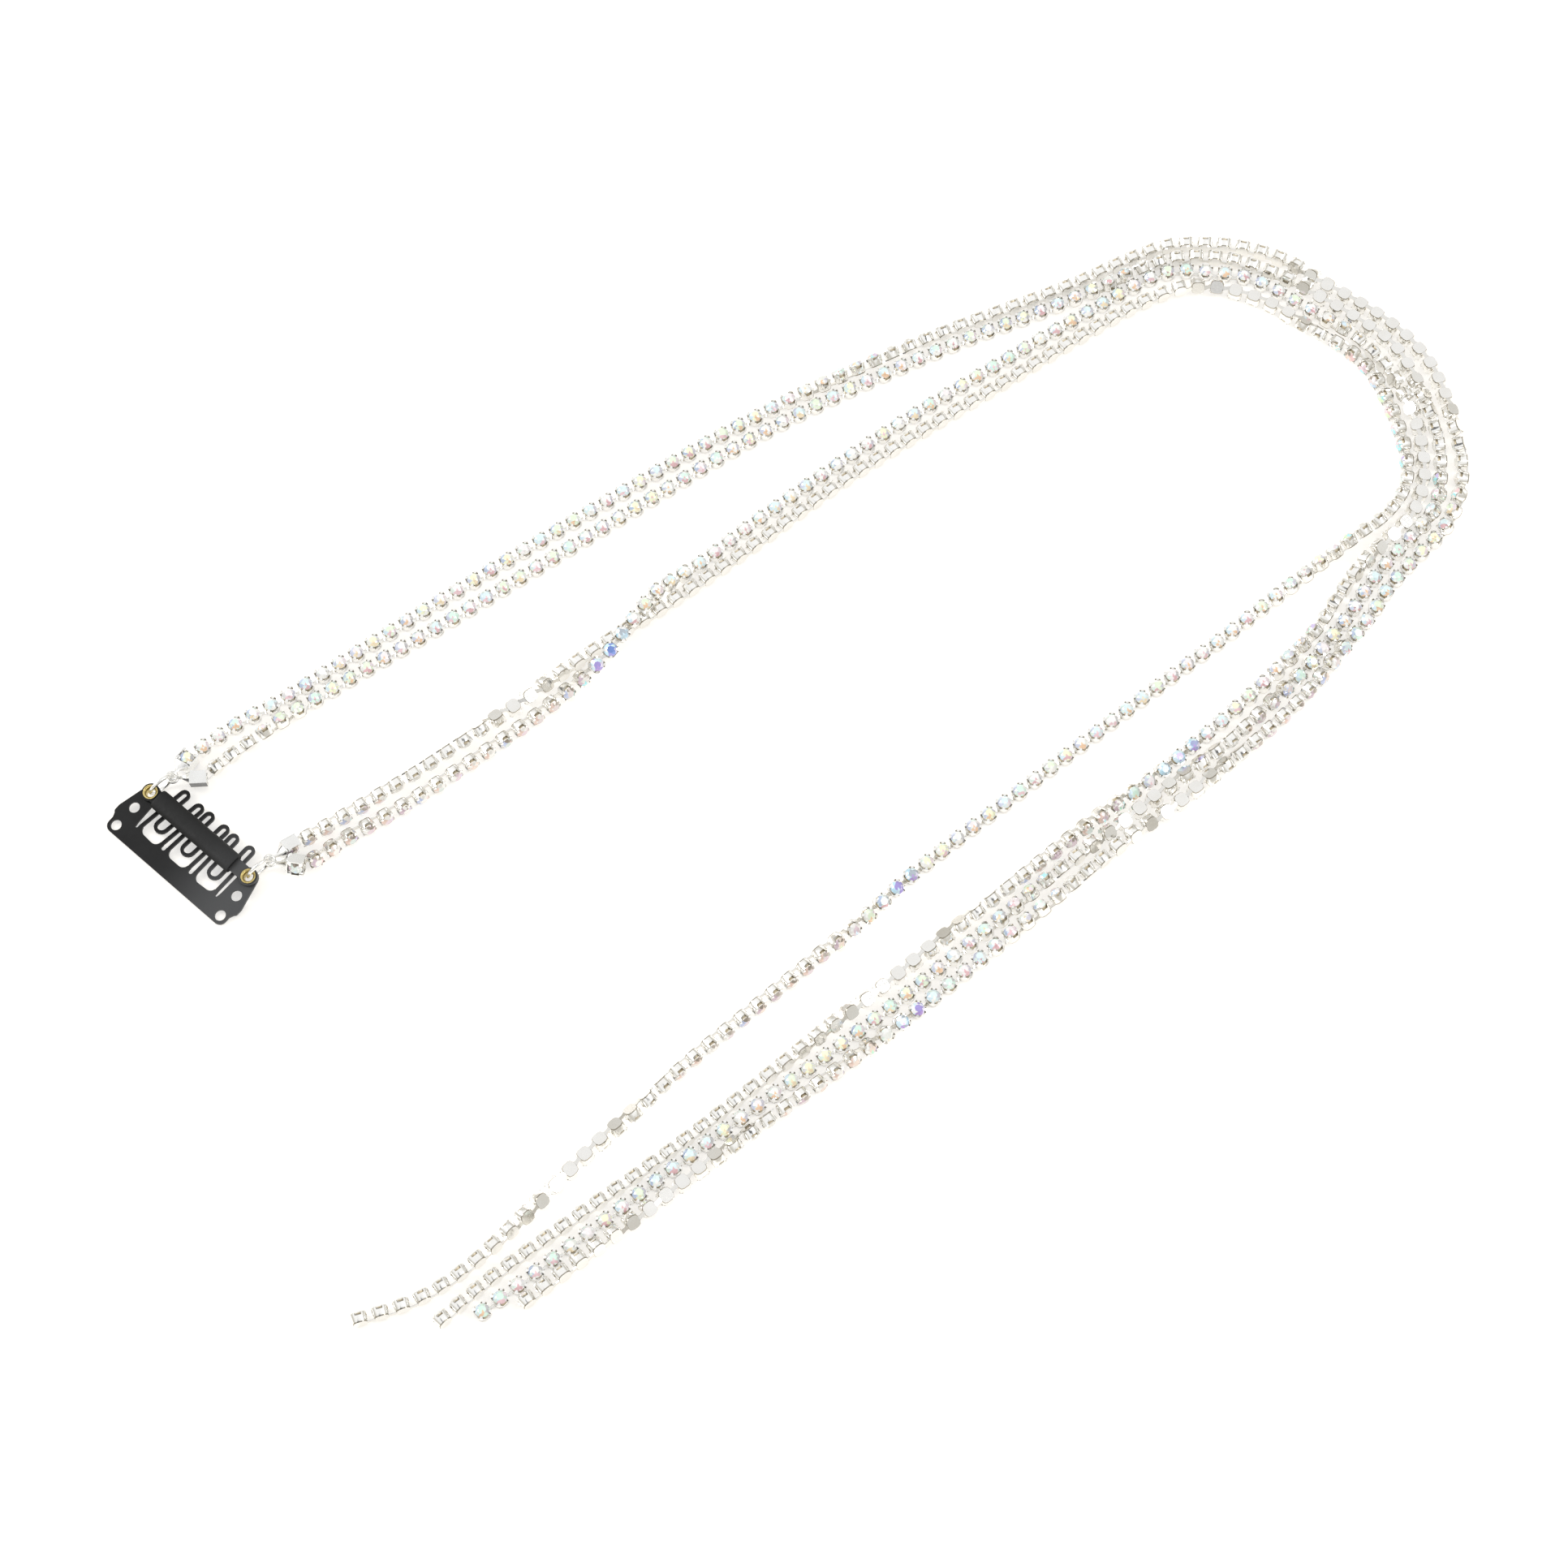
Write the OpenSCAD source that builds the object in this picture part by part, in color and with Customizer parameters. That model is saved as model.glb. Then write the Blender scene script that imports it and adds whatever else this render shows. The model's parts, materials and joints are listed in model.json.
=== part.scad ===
// A hair chain: a small snap comb clip with four long strands of crystal cup chain.
// The origin is on the surface that it lies on, below the middle of its outline.
// X runs along the long side of the layout, Y across it and Z up.

/* [Cup chain] */
// Distance from one cup to the next
cup_pitch = 4.135; // [3.95:0.005:4.5]
// Width of a square cup across its sides
cup_width = 3.1; // [2.7:0.05:3.15]
// Width of the cup across its back plate
cup_back_width = 2.8; // [2.4:0.05:2.9]
// Height of the cup's wall from back to rim
cup_wall_height = 2.1; // [1.6:0.05:2.4]
// Width of the chamfer on each corner of a cup
cup_corner = 0.6; // [0.4:0.05:0.8]
// Height of a claw above the rim
claw_height = 0.4; // [0.2:0.05:0.5]
// Distance from the crystal's edge to the tips of the claws over it
claw_inset = 0.25; // [0.2:0.05:0.3]
// Width of the link between two cups
link_width = 0.9; // [0.6:0.05:1.4]
// Thickness of the link
link_thickness = 0.3; // [0.2:0.05:0.45]
// Clear space between loose pieces of a strand
loose_gap = 0.3; // [0.2:0.05:0.4]
// Diameter of the plain body that stands for a finely made strand
strand_diameter = 2.7; // [2.5:0.05:2.8]

/* [Crystal] */
// Diameter of a crystal at its girdle
crystal_diameter = 2.8; // [2.4:0.05:2.9]
// Diameter of the flat table
table_diameter = 1.6; // [1.2:0.05:2.0]
// Height of the crown above the rim
crown_height = 0.6; // [0.4:0.05:0.8]

/* [Comb plate] */
// Length of the straight long edge between the corner roundings' outer sides
plate_length = 33.2; // [32.8:0.2:35]
// Thickness of the enamelled plate
plate_thickness = 0.6; // [0.5:0.05:0.9]
// Radius of the two rounded corners at the long edge
plate_corner_radius = 1.5; // [1.2:0.1:1.8]
// How far each shoulder stands out past the long edge's ends
shoulder_step = 0.8; // [0.5:0.1:1.2]
// Distance from the long edge to the lower end of a shoulder
shoulder_start = 3.4; // [3.2:0.1:3.8]
// Distance from the long edge to the upper end of a shoulder
shoulder_end = 5.6; // [5.4:0.1:6.2]
// Angle that the plate is lifted on its ring side
plate_tilt = 10; // [8:0.5:11]
// Angle that the teeth are bent down from the plate
teeth_bend = 10; // [9:0.5:11]
// Distance from the long edge to the roots of the teeth
teeth_root = 5; // [4.8:0.1:5.4]
// Width of the steel strip that makes the teeth
strip_width = 0.7; // [0.55:0.05:0.8]
// Radius of each tooth's round tip, at the middle of the strip
tooth_radius = 0.85; // [0.75:0.05:0.9]
// Distance from the long edge to the centre of a tooth's tip
tooth_reach = 15.2; // [14.2:0.1:15.6]
// Distance between the two teeth of a pair
tooth_spacing = 4.25; // [4.15:0.05:4.35]
// Distance between pairs of teeth
pair_pitch = 7.15; // [7.1:0.05:7.3]
// Distance from the long edge to the middle of the bow between a pair's teeth
bow_height = 7.5; // [6.8:0.1:8]
// Angle that the outer pairs of teeth lean in towards the middle pair
teeth_lean = 3.4; // [2:0.2:3.8]
// Distance from the long edge to the bottom of the windows
window_start = 3.8; // [3.2:0.1:4]
// Radius of the windows' corners
window_corner = 1.4; // [0.8:0.1:1.6]
// Distance from the long edge to the bottom of the slots
slot_start = 4; // [3.6:0.1:4.4]
// Width of the slot beside each arm
end_slot_width = 0.6; // [0.4:0.05:0.65]
// Radius of the shoulders' corners
shoulder_round = 0.8; // [0.5:0.05:0.9]
// Distance from the last tooth to the arm that carries an eyelet, at the roots of the teeth
arm_gap = 0.75; // [0.65:0.05:0.9]
// Radius of the sewing holes
sewing_hole_radius = 1.15; // [0.9:0.05:1.2]
// Distance from each end of the long edge to the lower sewing hole next to it
lower_hole_inset = 1.7; // [1.6:0.05:2]
// Distance from the long edge to the lower sewing holes
lower_hole_height = 1.8; // [1.6:0.05:2]
// Distance from the long edge to the upper sewing holes
upper_hole_height = 6.8; // [6.4:0.1:7]

/* [Bar, sleeve and eyelets] */
// Distance between the two eyelets
eyelet_spacing = 27.9; // [27.6:0.1:28.4]
// Distance from the long edge to the eyelets
eyelet_height = 11.15; // [10.9:0.05:11.4]
// Radius of the hole through an eyelet
eyelet_bore_radius = 0.95; // [0.85:0.05:1]
// Radius of an eyelet's barrel
eyelet_barrel_radius = 1.2; // [1.15:0.05:1.25]
// Radius of an eyelet's flanges
eyelet_flange_radius = 1.55; // [1.5:0.05:1.7]
// Thickness of an eyelet's flanges
eyelet_flange_thickness = 0.3; // [0.2:0.05:0.35]
// Radius of the ears round the eyelets, on plate and bar
ear_radius = 1.9; // [1.8:0.05:2]
// Thickness of the flat bar
bar_thickness = 0.6; // [0.5:0.05:0.7]
// Width of the flat bar between its ends
bar_width = 3; // [2.4:0.1:3.1]
// Clear space between stacked flat pieces
stack_gap = 0.1; // [0.08:0.02:0.12]
// Width of the rubber sleeve
sleeve_width = 4.4; // [3.8:0.1:4.6]
// Thickness of the rubber sleeve
sleeve_thickness = 2.3; // [2:0.1:2.4]
// Clear space between the sleeve's left end and the left eyelet's flange
sleeve_left_gap = 0.5; // [0.4:0.05:2.5]
// Length of bare bar between the sleeve's right end and the right eyelet's flange
sleeve_right_gap = 2.6; // [0.4:0.05:3]

/* [Rings and end caps] */
// Radius of a jump ring at the middle of its wire
ring_radius = 2.7; // [2.5:0.05:2.8]
// Diameter of a jump ring's wire
ring_wire = 0.8; // [0.6:0.05:0.85]
// Height of the lower end cap's eye on its ring
lower_eye_height = 2.5; // [2.3:0.05:2.6]
// Height of the upper end cap's eye on its ring
upper_eye_height = 3.7; // [3.6:0.05:3.8]
// Radius of an end cap's eye at the middle of its wire
eye_radius = 1; // [0.95:0.05:1.1]
// Diameter of the wire of an end cap's eye
eye_wire = 0.56; // [0.45:0.02:0.6]
// Distance from an end cap's eye to the middle of the cup that it holds
cap_reach = 5.2; // [5:0.05:5.6]
// Height of the middle of the cup that an end cap holds
held_cup_height = 2.4; // [2.4:0.05:2.6]
// Thickness of an end cap's sheet
cap_sheet = 0.3; // [0.2:0.05:0.3]
// Clear space between an end cap and its cup
cap_gap = 0.12; // [0.1:0.02:0.16]
// Width of the tabs on an end cap's side walls
cap_tab_width = 0.7; // [0.5:0.05:0.9]

/* [Hidden] */
$fn = 48;
LAP = 0.05;
ROOT_LAP = 0.3;
ARC_STEPS = 8;

// Moves the layout so that the origin is below the middle of its outline
CENTRING = [-4.3, -5.1];
// The middle of the comb's long edge on the surface, and the way that the edge runs
CLIP_OFFSET = [-123.6, -24.8];
CLIP_PLACE = CENTRING + CLIP_OFFSET;
CLIP_TURN = -42;
// The way that the two upright rings lead away from the clip
RING_TURN = 40;

// Where the middle of each strand runs, past the end cap that holds its first cup. lift is the
// height above lying flat, and roll turns the crystals from face up (0) to the left (-90) and on.
// Columns: x, y, lift, roll
ROUTES = [
    ["strand_a", [
        [-110.5, 9, 0, 0], [-100.5, 15.5, 0, 0], [-71.5, 37, 0, 0], [-39, 60, 0, 0],
        [-5.5, 82.5, 0, 0], [29.5, 101.5, 0, -75], [60, 115, 0, -90], [74.5, 122.5, 0, -90],
        [83, 126, 0, -90], [91.5, 126.5, 0, -90], [99.5, 125.5, 0, -90], [107.5, 122.5, 0, -95],
        [114.5, 117.5, 0, -135], [121, 112.5, 0, -175], [127.5, 107.5, 0, -180], [133, 102, 0, -180],
        [137.5, 95, 0, -180], [140, 86.5, 0, -190], [141.5, 78, 0, -235], [142, 69.5, 0, -270],
        [140.5, 62, 0, -300], [137, 54.5, 0, -335], [131, 48, 0, -360], [125, 41, 0, -360],
        [120.5, 34, 0, -365], [115, 27, 0, -400], [106.5, 16, 0, -450], [95.5, 5, 0, -460],
        [81.5, -7, 0, -540], [66, -19, 0, -620], [43.5, -39, 0, -700], [28, -52.5, 0, -725],
        [13, -65, 0, -790], [-2.5, -77, 0, -830], [-18.5, -89.5, 0, -900], [-33.5, -101.5, 0, -960],
        [-48.5, -113.5, 0, -990]]],
    ["strand_b", [
        [-109, 4, 0, -75], [-96, 14, 0, -5], [-66.5, 34.5, 0, 0], [-33.5, 58, 0, 0],
        [-1, 80.5, 0, 0], [32, 98.5, 0, 0], [53, 108, 0, 0], [68, 115, 0, -20],
        [79, 121, 0, -70], [87, 123, 0, -90], [95.5, 122.5, 0, -90], [103, 120, 0, -90],
        [110.5, 116, 0, -115], [117, 111, 0, -170], [124, 105.5, 0, -180], [129.5, 100.5, 0, -180],
        [133, 93.5, 0, -190], [136, 84.5, 0, -230], [137.5, 77, 0, -255], [137.5, 69.5, 0, -275],
        [136, 61, 0, -300], [131.5, 54, 0, -335], [125.5, 47.5, 0, -360], [120.5, 41, 0, -360],
        [116, 34, 0, -360], [111, 27.5, 0, -370], [105.5, 20.5, 0, -395], [94, 8.5, 0, -455],
        [85, 0.5, 0, -490], [68.5, -12.5, 0, -560], [52, -26, 0, -660], [40, -37, 0, -700],
        [21, -53.5, 0, -715], [1, -69.5, 0, -720], [-18.5, -85, 0, -720], [-38, -101, 0, -720],
        [-58, -117, 0, -720]]],
    ["strand_c", [
        [-92.5, -21.5, 0.2, 70], [-87, -17, 0, 70], [-73.5, -8, 0, 68], [-53, 8, 0, 60],
        [-41.5, 18.5, 0.4, 40], [-37.5, 22.5, 1.6, 28], [-35, 25, 2.6, 20], [-33, 28, 3.2, 14],
        [-30, 32.5, 3.5, 8], [-27, 37, 3.2, 3], [-24.5, 40, 2.2, 0], [-21.5, 43, 0.9, 0], [-15.5, 48, 0, 0],
        [-3.5, 58.5, 0, 0], [23, 79.5, 0, 0], [50, 98.5, 0, 0], [64, 108, 0, 0],
        [78, 117, 0, 0], [85, 119.5, 0, 0], [92, 119, 0, 0], [99, 118, 0, 0],
        [105, 115, 0, 0], [110.5, 111, 0, 0], [116, 107, 0, -15], [122, 102.5, 0, -65],
        [127, 96.5, 0, -90], [131, 89, 0, -120], [133.5, 81, 0, -155], [134, 73, 0, -185],
        [133.5, 65.5, 0, -190], [130.5, 58, 0, -195], [125, 52, 0, -210], [119, 45.5, 0, -245],
        [114, 38.5, 0, -270], [109.5, 31.5, 0, -290], [104, 25, 0, -320], [98, 18.5, 0, -345],
        [86.5, 7.5, 0, -360], [74, -3.5, 0, -395], [61, -14, 0, -430], [42, -30, 0, -475],
        [22.5, -46.5, 0, -545], [8, -58.5, 0, -600], [-7.5, -71.5, 0, -630], [-22, -83.5, 0, -630],
        [-39, -96.5, 0, -630], [-55, -109, 0, -630], [-64.5, -117.5, 0, -630]]],
    ["strand_d", [
        [-89, -13, 0, 90], [-75.5, -3.5, 0, 90], [-62.5, 6.5, 0, 110], [-54, 13.5, 0, 180],
        [-44.5, 21.5, 0, 240], [-34.5, 29.5, 0, 265], [-24, 37, 0, 270], [-7.5, 50, 0, 270],
        [15.5, 69, 0, 270], [48, 92, 0, 270], [69, 106.5, 0, 270], [79.3, 112.6, 0, 270],
        [86.3, 115.2, 0, 255], [92.8, 115.1, 0, 220], [98.5, 113.3, 0, 185], [104.5, 110.5, 0, 180],
        [109.5, 106.5, 0, 165], [115, 102.5, 0, 120], [120.5, 98.5, 0, 90], [124.5, 93.5, 0, 80],
        [127.5, 86.5, 0, 75], [129.5, 79, 0, 65], [130.5, 71.5, 0, 55], [129.5, 64.5, 0, 45],
        [125, 58, 0, 20], [118, 52.5, 0, 5], [102, 39, 0, 0], [89, 28, 0, 0], [75.5, 17, 0, 0],
        [49, -5, 0, 0], [26, -24.5, 0, -10], [14.5, -36, 0, -50], [4.5, -45, 0, -85],
        [-18, -65, 0, -95], [-28.5, -75.5, 0, -140], [-39.5, -86, 0, -185], [-50, -97.5, 0, -240],
        [-60.5, -107.5, 0, -270], [-69.5, -113.5, 0, -270], [-79.9, -117.2, 0, -270]]]
];
X = 0;
Y = 1;
LIFT = 2;
ROLL = 3;

CUP_BACK = -(cup_wall_height + crown_height)/2;
CUP_RIM = CUP_BACK + cup_wall_height;
CUP_TABLE = CUP_RIM + crown_height;
// The cup's section across the chain, as half widths and heights
CUP_SECTION = [[cup_back_width/2, CUP_BACK], [cup_width/2, CUP_RIM],
    [crystal_diameter/2, CUP_RIM + claw_height], [table_diameter/2, CUP_TABLE]];

ROUTE_STEPS = 8;
TUBE_SIDES = 8;
TUBE_RING_SPACING = 7.5;
// Share of a plain strand's width that its first ring has, next to its end cap
TUBE_START = 0.6;
// Distance between pairs of teeth at their roots, and the outer side of the last strip there
ROOT_PITCH = pair_pitch + (tooth_reach - teeth_root)*sin(teeth_lean);
LAST_STRIP = ROOT_PITCH + (tooth_spacing/2 + tooth_radius + strip_width/2)*cos(teeth_lean);
LOWER_HOLE = plate_length/2 - lower_hole_inset;
// The upper sewing holes lie in the middle of the arms that carry the eyelets
UPPER_HOLE = (LAST_STRIP + arm_gap + plate_length/2 + shoulder_step)/2;
SLEEVE_START = -eyelet_spacing/2 + eyelet_flange_radius + sleeve_left_gap;
SLEEVE_END = eyelet_spacing/2 - eyelet_flange_radius - sleeve_right_gap;
BAR_BASE = plate_thickness + stack_gap;
BAR_MIDDLE = BAR_BASE + bar_thickness/2;
EYELET_TOP = BAR_BASE + bar_thickness + stack_gap/2 + eyelet_flange_thickness;
EYELET_BASE = -stack_gap/2 - eyelet_flange_thickness;
RING_HEIGHT = ring_radius + ring_wire/2;

function rotated(p, a) = [p[X]*cos(a) - p[Y]*sin(a), p[X]*sin(a) + p[Y]*cos(a)];

// Height of a cup's middle when it lies on the surface, turned by roll
function lying_height(roll) =
    max([for (c = CUP_SECTION, side = [-1, 1]) -(side*c[0]*sin(roll) + c[1]*cos(roll))]);

// A point of the clip, given along its edge, across it and above it, placed in the layout
function clip_point(p) =
    let (across = p[1]*cos(plate_tilt) - p[2]*sin(plate_tilt),
         flat = rotated([p[0], across], CLIP_TURN))
    [CLIP_PLACE[X] + flat[X], CLIP_PLACE[Y] + flat[Y], p[1]*sin(plate_tilt) + p[2]*cos(plate_tilt)];

function eyelet_centre(side) =
    clip_point([side*eyelet_spacing/2, eyelet_height, (EYELET_TOP + EYELET_BASE)/2]);

// Half the width of a jump ring's middle circle at a height
function ring_half_chord(z) = sqrt(ring_radius^2 - (z - RING_HEIGHT)^2);

function ring_centre(side) =
    let (e = eyelet_centre(side), way = rotated([ring_half_chord(e[2]), 0], RING_TURN))
    [e[X] + way[X], e[Y] + way[Y], RING_HEIGHT];

// The far side of a ring at a height, where an end cap's eye hangs
function ring_far_point(side, z) =
    let (c = ring_centre(side), way = rotated([ring_half_chord(z), 0], RING_TURN))
    [c[X] + way[X], c[Y] + way[Y], z];

function chosen_route(name) = [for (r = ROUTES) if (r[0] == name) r[1]][0];

// A route from the eye of its end cap to the free end. Columns: x, y, lift, roll
function full_route(name) =
    let (roll = first_roll(name))
    concat([for (p = [eye_of(name), held_cup(name)]) [p[X], p[Y], p[2] - lying_height(roll), roll]],
        [for (r = chosen_route(name)) [r[X] + CENTRING[X], r[Y] + CENTRING[Y], r[LIFT], r[ROLL]]]);

function spline(p0, p1, p2, p3, t) =
    p1 + 0.5*t*((p2 - p0) + t*((2*p0 - 5*p1 + 4*p2 - p3) + t*(3*p1 - p0 - 3*p2 + p3)));

function smooth_route(rows) =
    let (last = len(rows) - 1)
    concat([for (i = [0:last - 1], k = [0:ROUTE_STEPS - 1])
            spline(rows[max(i - 1, 0)], rows[i], rows[i + 1], rows[min(i + 2, last)], k/ROUTE_STEPS)],
        [rows[last]]);

// Running length at each point of a smooth route
function run_lengths(pts) =
    [for (i = 0, s = 0; i < len(pts); i = i + 1,
        s = i < len(pts) ? s + norm([for (k = [0:2]) pts[i][k] - pts[i - 1][k]]) : s) s];

// A route as four tables of length and value, and its whole length at the end
function measured(rows) =
    let (pts = smooth_route(rows), run = run_lengths(pts))
    concat([for (k = [0:3]) [for (i = [0:len(pts) - 1]) [run[i], pts[i][k]]]], [run[len(run) - 1]]);

function route_length(m) = m[4];

function route_roll(m, s) = lookup(s, m[3]);

// The way of a route, with lift as its height
function route_way(m, s) = [lookup(s, m[0]), lookup(s, m[1]), max(lookup(s, m[2]), 0)];

// A cup's middle on a route. A turning cup rises on its corners as it rolls over
function route_point(m, s) = route_way(m, s) + [0, 0, lying_height(route_roll(m, s))];

function unit(v) = v/norm(v);

function cup_count(m) = floor((route_length(m) - cap_reach)/cup_pitch) + 1;

function cup_run(i) = cap_reach + i*cup_pitch;

// Along, across and up directions that lead from one point to another
function frame_between(a, b) =
    let (along = unit(b - a), across = unit(cross([0, 0, 1], along)))
    [along, across, cross(along, across)];

// Directions of a route, before its roll. The first cup lies as its end cap does
function route_frame(m, s) =
    s <= cap_reach ? frame_between(route_way(m, 0), route_way(m, cap_reach))
        : frame_between(route_way(m, s - cup_pitch/2), route_way(m, s + cup_pitch/2));

// How each end cap hangs. Columns: strand, side of its ring, height of its eye, way that it leads
CAPS = [["strand_a", -1, upper_eye_height, 60], ["strand_b", -1, lower_eye_height, 4],
    ["strand_c", 1, lower_eye_height, -9], ["strand_d", 1, upper_eye_height, 40]];

function cap_row(name) = [for (c = CAPS) if (c[0] == name) c][0];

function eye_of(name) = let (c = cap_row(name)) ring_far_point(c[1], c[2]);

function first_roll(name) = chosen_route(name)[0][ROLL];

// Middle of the cup that an end cap holds, where the cap that hangs on its ring has come down
function held_cup(name) =
    let (eye = eye_of(name), drop = eye[2] - held_cup_height,
         way = rotated([sqrt(cap_reach^2 - drop^2), 0], cap_row(name)[3]))
    eye + [way[X], way[Y], -drop];

function strand_route(name) = measured(full_route(name));

// Places its children at a point, with X, Y and Z along three directions
module in_frame(f, p) {
    multmatrix([[f[0][0], f[1][0], f[2][0], p[0]], [f[0][1], f[1][1], f[2][1], p[1]],
        [f[0][2], f[1][2], f[2][2], p[2]]]) children();
}

module on_clip() {
    translate([CLIP_PLACE[X], CLIP_PLACE[Y], 0]) rotate([0, 0, CLIP_TURN])
        rotate([plate_tilt, 0, 0]) children();
}

// Points along an arc about c
function arc(c, r, from, to) =
    [for (i = [0:ARC_STEPS]) let (a = from + (to - from)*i/ARC_STEPS) c + r*[cos(a), sin(a)]];

function reversed(v) = [for (i = [len(v) - 1:-1:0]) v[i]];

function mirrored(pts) = [for (p = reversed(pts)) [-p[0], p[1]]];

// The plate's outline without its teeth
module plate_outline() {
    half = plate_length/2;
    out = half + shoulder_step;
    r = plate_corner_radius;
    ear = eyelet_spacing/2;
    slope = atan2(eyelet_height - shoulder_end, out - ear - ear_radius);
    right = concat(arc([half - r, r], r, -90, 0), [[half, shoulder_start - shoulder_step]],
        arc([out - shoulder_round, shoulder_start + shoulder_round], shoulder_round, -60, 0),
        arc([out - shoulder_round, shoulder_end - shoulder_round/2], shoulder_round, 0, 90 - slope),
        arc([ear, eyelet_height], ear_radius, 90 - slope, 180),
        [[LAST_STRIP + arm_gap, teeth_root]]);
    polygon(concat(right, mirrored(right)));
}

// The middle of the strip that makes one pair of teeth: up, round a tip, back in a bow, round the
// other tip and down. Each point has the angle that its left side faces
function strip_line() =
    let (inner = tooth_spacing/2 - tooth_radius, outer = tooth_spacing/2 + tooth_radius,
         turns = [for (i = [0:ARC_STEPS]) 180*i/ARC_STEPS])
    concat([[-outer, teeth_root - ROOT_LAP, 180]],
        [for (t = turns) [tooth_radius*cos(180 - t) - tooth_spacing/2,
            tooth_reach + tooth_radius*sin(180 - t), 180 - t]],
        [for (t = turns) [-inner*cos(t), bow_height - inner*sin(t), t]],
        [for (t = turns) [tooth_radius*cos(180 - t) + tooth_spacing/2,
            tooth_reach + tooth_radius*sin(180 - t), 180 - t]],
        [[outer, teeth_root - ROOT_LAP, 0]]);

function strip_side(w) = [for (p = strip_line()) [p[0] + w*cos(p[2]), p[1] + w*sin(p[2])]];

module tooth_pair() {
    polygon(concat(strip_side(strip_width/2), reversed(strip_side(-strip_width/2))));
}

// Moves its children to the pair of teeth at i, which leans in about its tips
module at_pair(i) {
    translate([i*pair_pitch, tooth_reach]) rotate(i*teeth_lean) translate([0, -tooth_reach]) children();
}

// A cut with a rounded lower end, open past the roots of the teeth
module rooted_cut(w, start, r) {
    right = concat(arc([w/2 - r, start + r], r, -90, 0), [[w/2, 2*teeth_root]]);
    polygon(concat(right, mirrored(right)));
}

// The cuts leave each root a little wider than its strip, so that the strip's sides lie inside it
module plate_cuts() {
    window = tooth_spacing + 2*tooth_radius - strip_width - 2*LAP;
    slot = ROOT_PITCH - tooth_spacing - 2*tooth_radius - strip_width - 2*LAP;
    for (i = [-1:1]) at_pair(i) rooted_cut(window, window_start, window_corner);
    for (i = [-0.5, 0.5]) at_pair(i) rooted_cut(slot, slot_start, slot/2 - LAP);
    r = end_slot_width/2;
    wedge = concat(arc([LAST_STRIP + LAP + r, slot_start + r], r, 180, 330),
        [[LAST_STRIP + arm_gap, teeth_root + LAP], [LAST_STRIP + LAP, teeth_root + LAP]]);
    polygon(wedge);
    polygon(mirrored(wedge));
    for (side = [-1, 1]) {
        translate([side*LOWER_HOLE, lower_hole_height]) circle(sewing_hole_radius);
        translate([side*UPPER_HOLE, upper_hole_height]) circle(sewing_hole_radius);
        translate([side*eyelet_spacing/2, eyelet_height]) circle(eyelet_barrel_radius + stack_gap/2);
    }
}

module comb_plate() {
    color("#2b2c2e") on_clip() {
        linear_extrude(plate_thickness) difference() {
            plate_outline();
            plate_cuts();
        }
        translate([0, teeth_root, 0]) rotate([-teeth_bend, 0, 0]) translate([0, -teeth_root, 0])
            linear_extrude(plate_thickness) for (i = [-1:1]) at_pair(i) tooth_pair();
    }
}

module flat_bar() {
    ends = eyelet_spacing/2;
    color("#36373a") on_clip() translate([0, 0, BAR_BASE]) linear_extrude(bar_thickness) difference() {
        union() {
            translate([-ends, eyelet_height - bar_width/2]) square([2*ends, bar_width]);
            for (side = [-1, 1]) translate([side*ends, eyelet_height]) circle(ear_radius);
        }
        for (side = [-1, 1]) translate([side*ends, eyelet_height])
            circle(eyelet_barrel_radius + stack_gap/2);
    }
}

module grip_sleeve() {
    r = sleeve_thickness/2;
    color("#1c1c1e") on_clip() translate([SLEEVE_START, eyelet_height, BAR_MIDDLE])
        rotate([90, 0, 90]) linear_extrude(SLEEVE_END - SLEEVE_START) difference() {
            union() {
                translate([r - sleeve_width/2, -r]) square([sleeve_width - 2*r, 2*r]);
                for (side = [-1, 1]) translate([side*(sleeve_width/2 - r), 0]) circle(r);
            }
            square([bar_width + stack_gap, bar_thickness + stack_gap], center = true);
        }
}

module eyelet(side) {
    flange = eyelet_flange_radius;
    barrel = eyelet_barrel_radius;
    t = eyelet_flange_thickness;
    color("#b08a3e") on_clip() translate([side*eyelet_spacing/2, eyelet_height, 0]) rotate_extrude()
        polygon([[eyelet_bore_radius, EYELET_BASE], [flange, EYELET_BASE], [flange, EYELET_BASE + t],
            [barrel, EYELET_BASE + t], [barrel, EYELET_TOP - t], [flange, EYELET_TOP - t],
            [flange, EYELET_TOP], [eyelet_bore_radius, EYELET_TOP]]);
}

module jump_ring(side) {
    color("#d4d6da") translate(ring_centre(side)) rotate([90, 0, RING_TURN])
        rotate_extrude() translate([ring_radius, 0]) circle(ring_wire/2);
}

function cap_frame(name) = frame_between(eye_of(name), held_cup(name));

// A folded cap round a strand's first cup, with a neck and an eye that hangs on the ring
module end_cap(name) {
    eye = eye_of(name);
    middle = held_cup(name);
    inner = cup_width/2 + cap_gap;
    outer = inner + cap_sheet;
    back = CUP_BACK - cap_gap;
    color("#cfd1d5") in_frame(cap_frame(name), middle) {
        rotate([first_roll(name), 0, 0]) {
            difference() {
                translate([-outer, -outer, back - cap_sheet])
                    cube([outer + inner, 2*outer, CUP_RIM + cap_sheet - back]);
                translate([-inner, -inner, back]) cube([3*outer, 2*inner, 3*outer]);
            }
            for (x = [-inner, inner - cap_tab_width], y = [-outer, inner])
                translate([x, y, CUP_RIM - LAP]) cube([cap_tab_width, cap_sheet, claw_height]);
            translate([0, 0, -cap_sheet]) linear_extrude(2*cap_sheet)
                polygon([[-inner - LAP, -outer], [-inner - LAP, outer],
                    [eye_radius - cap_reach, eye_wire/2], [eye_radius - cap_reach, -eye_wire/2]]);
        }
        translate([-norm(middle - eye), 0, 0])
            rotate_extrude() translate([eye_radius, 0]) circle(eye_wire/2);
    }
}

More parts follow.
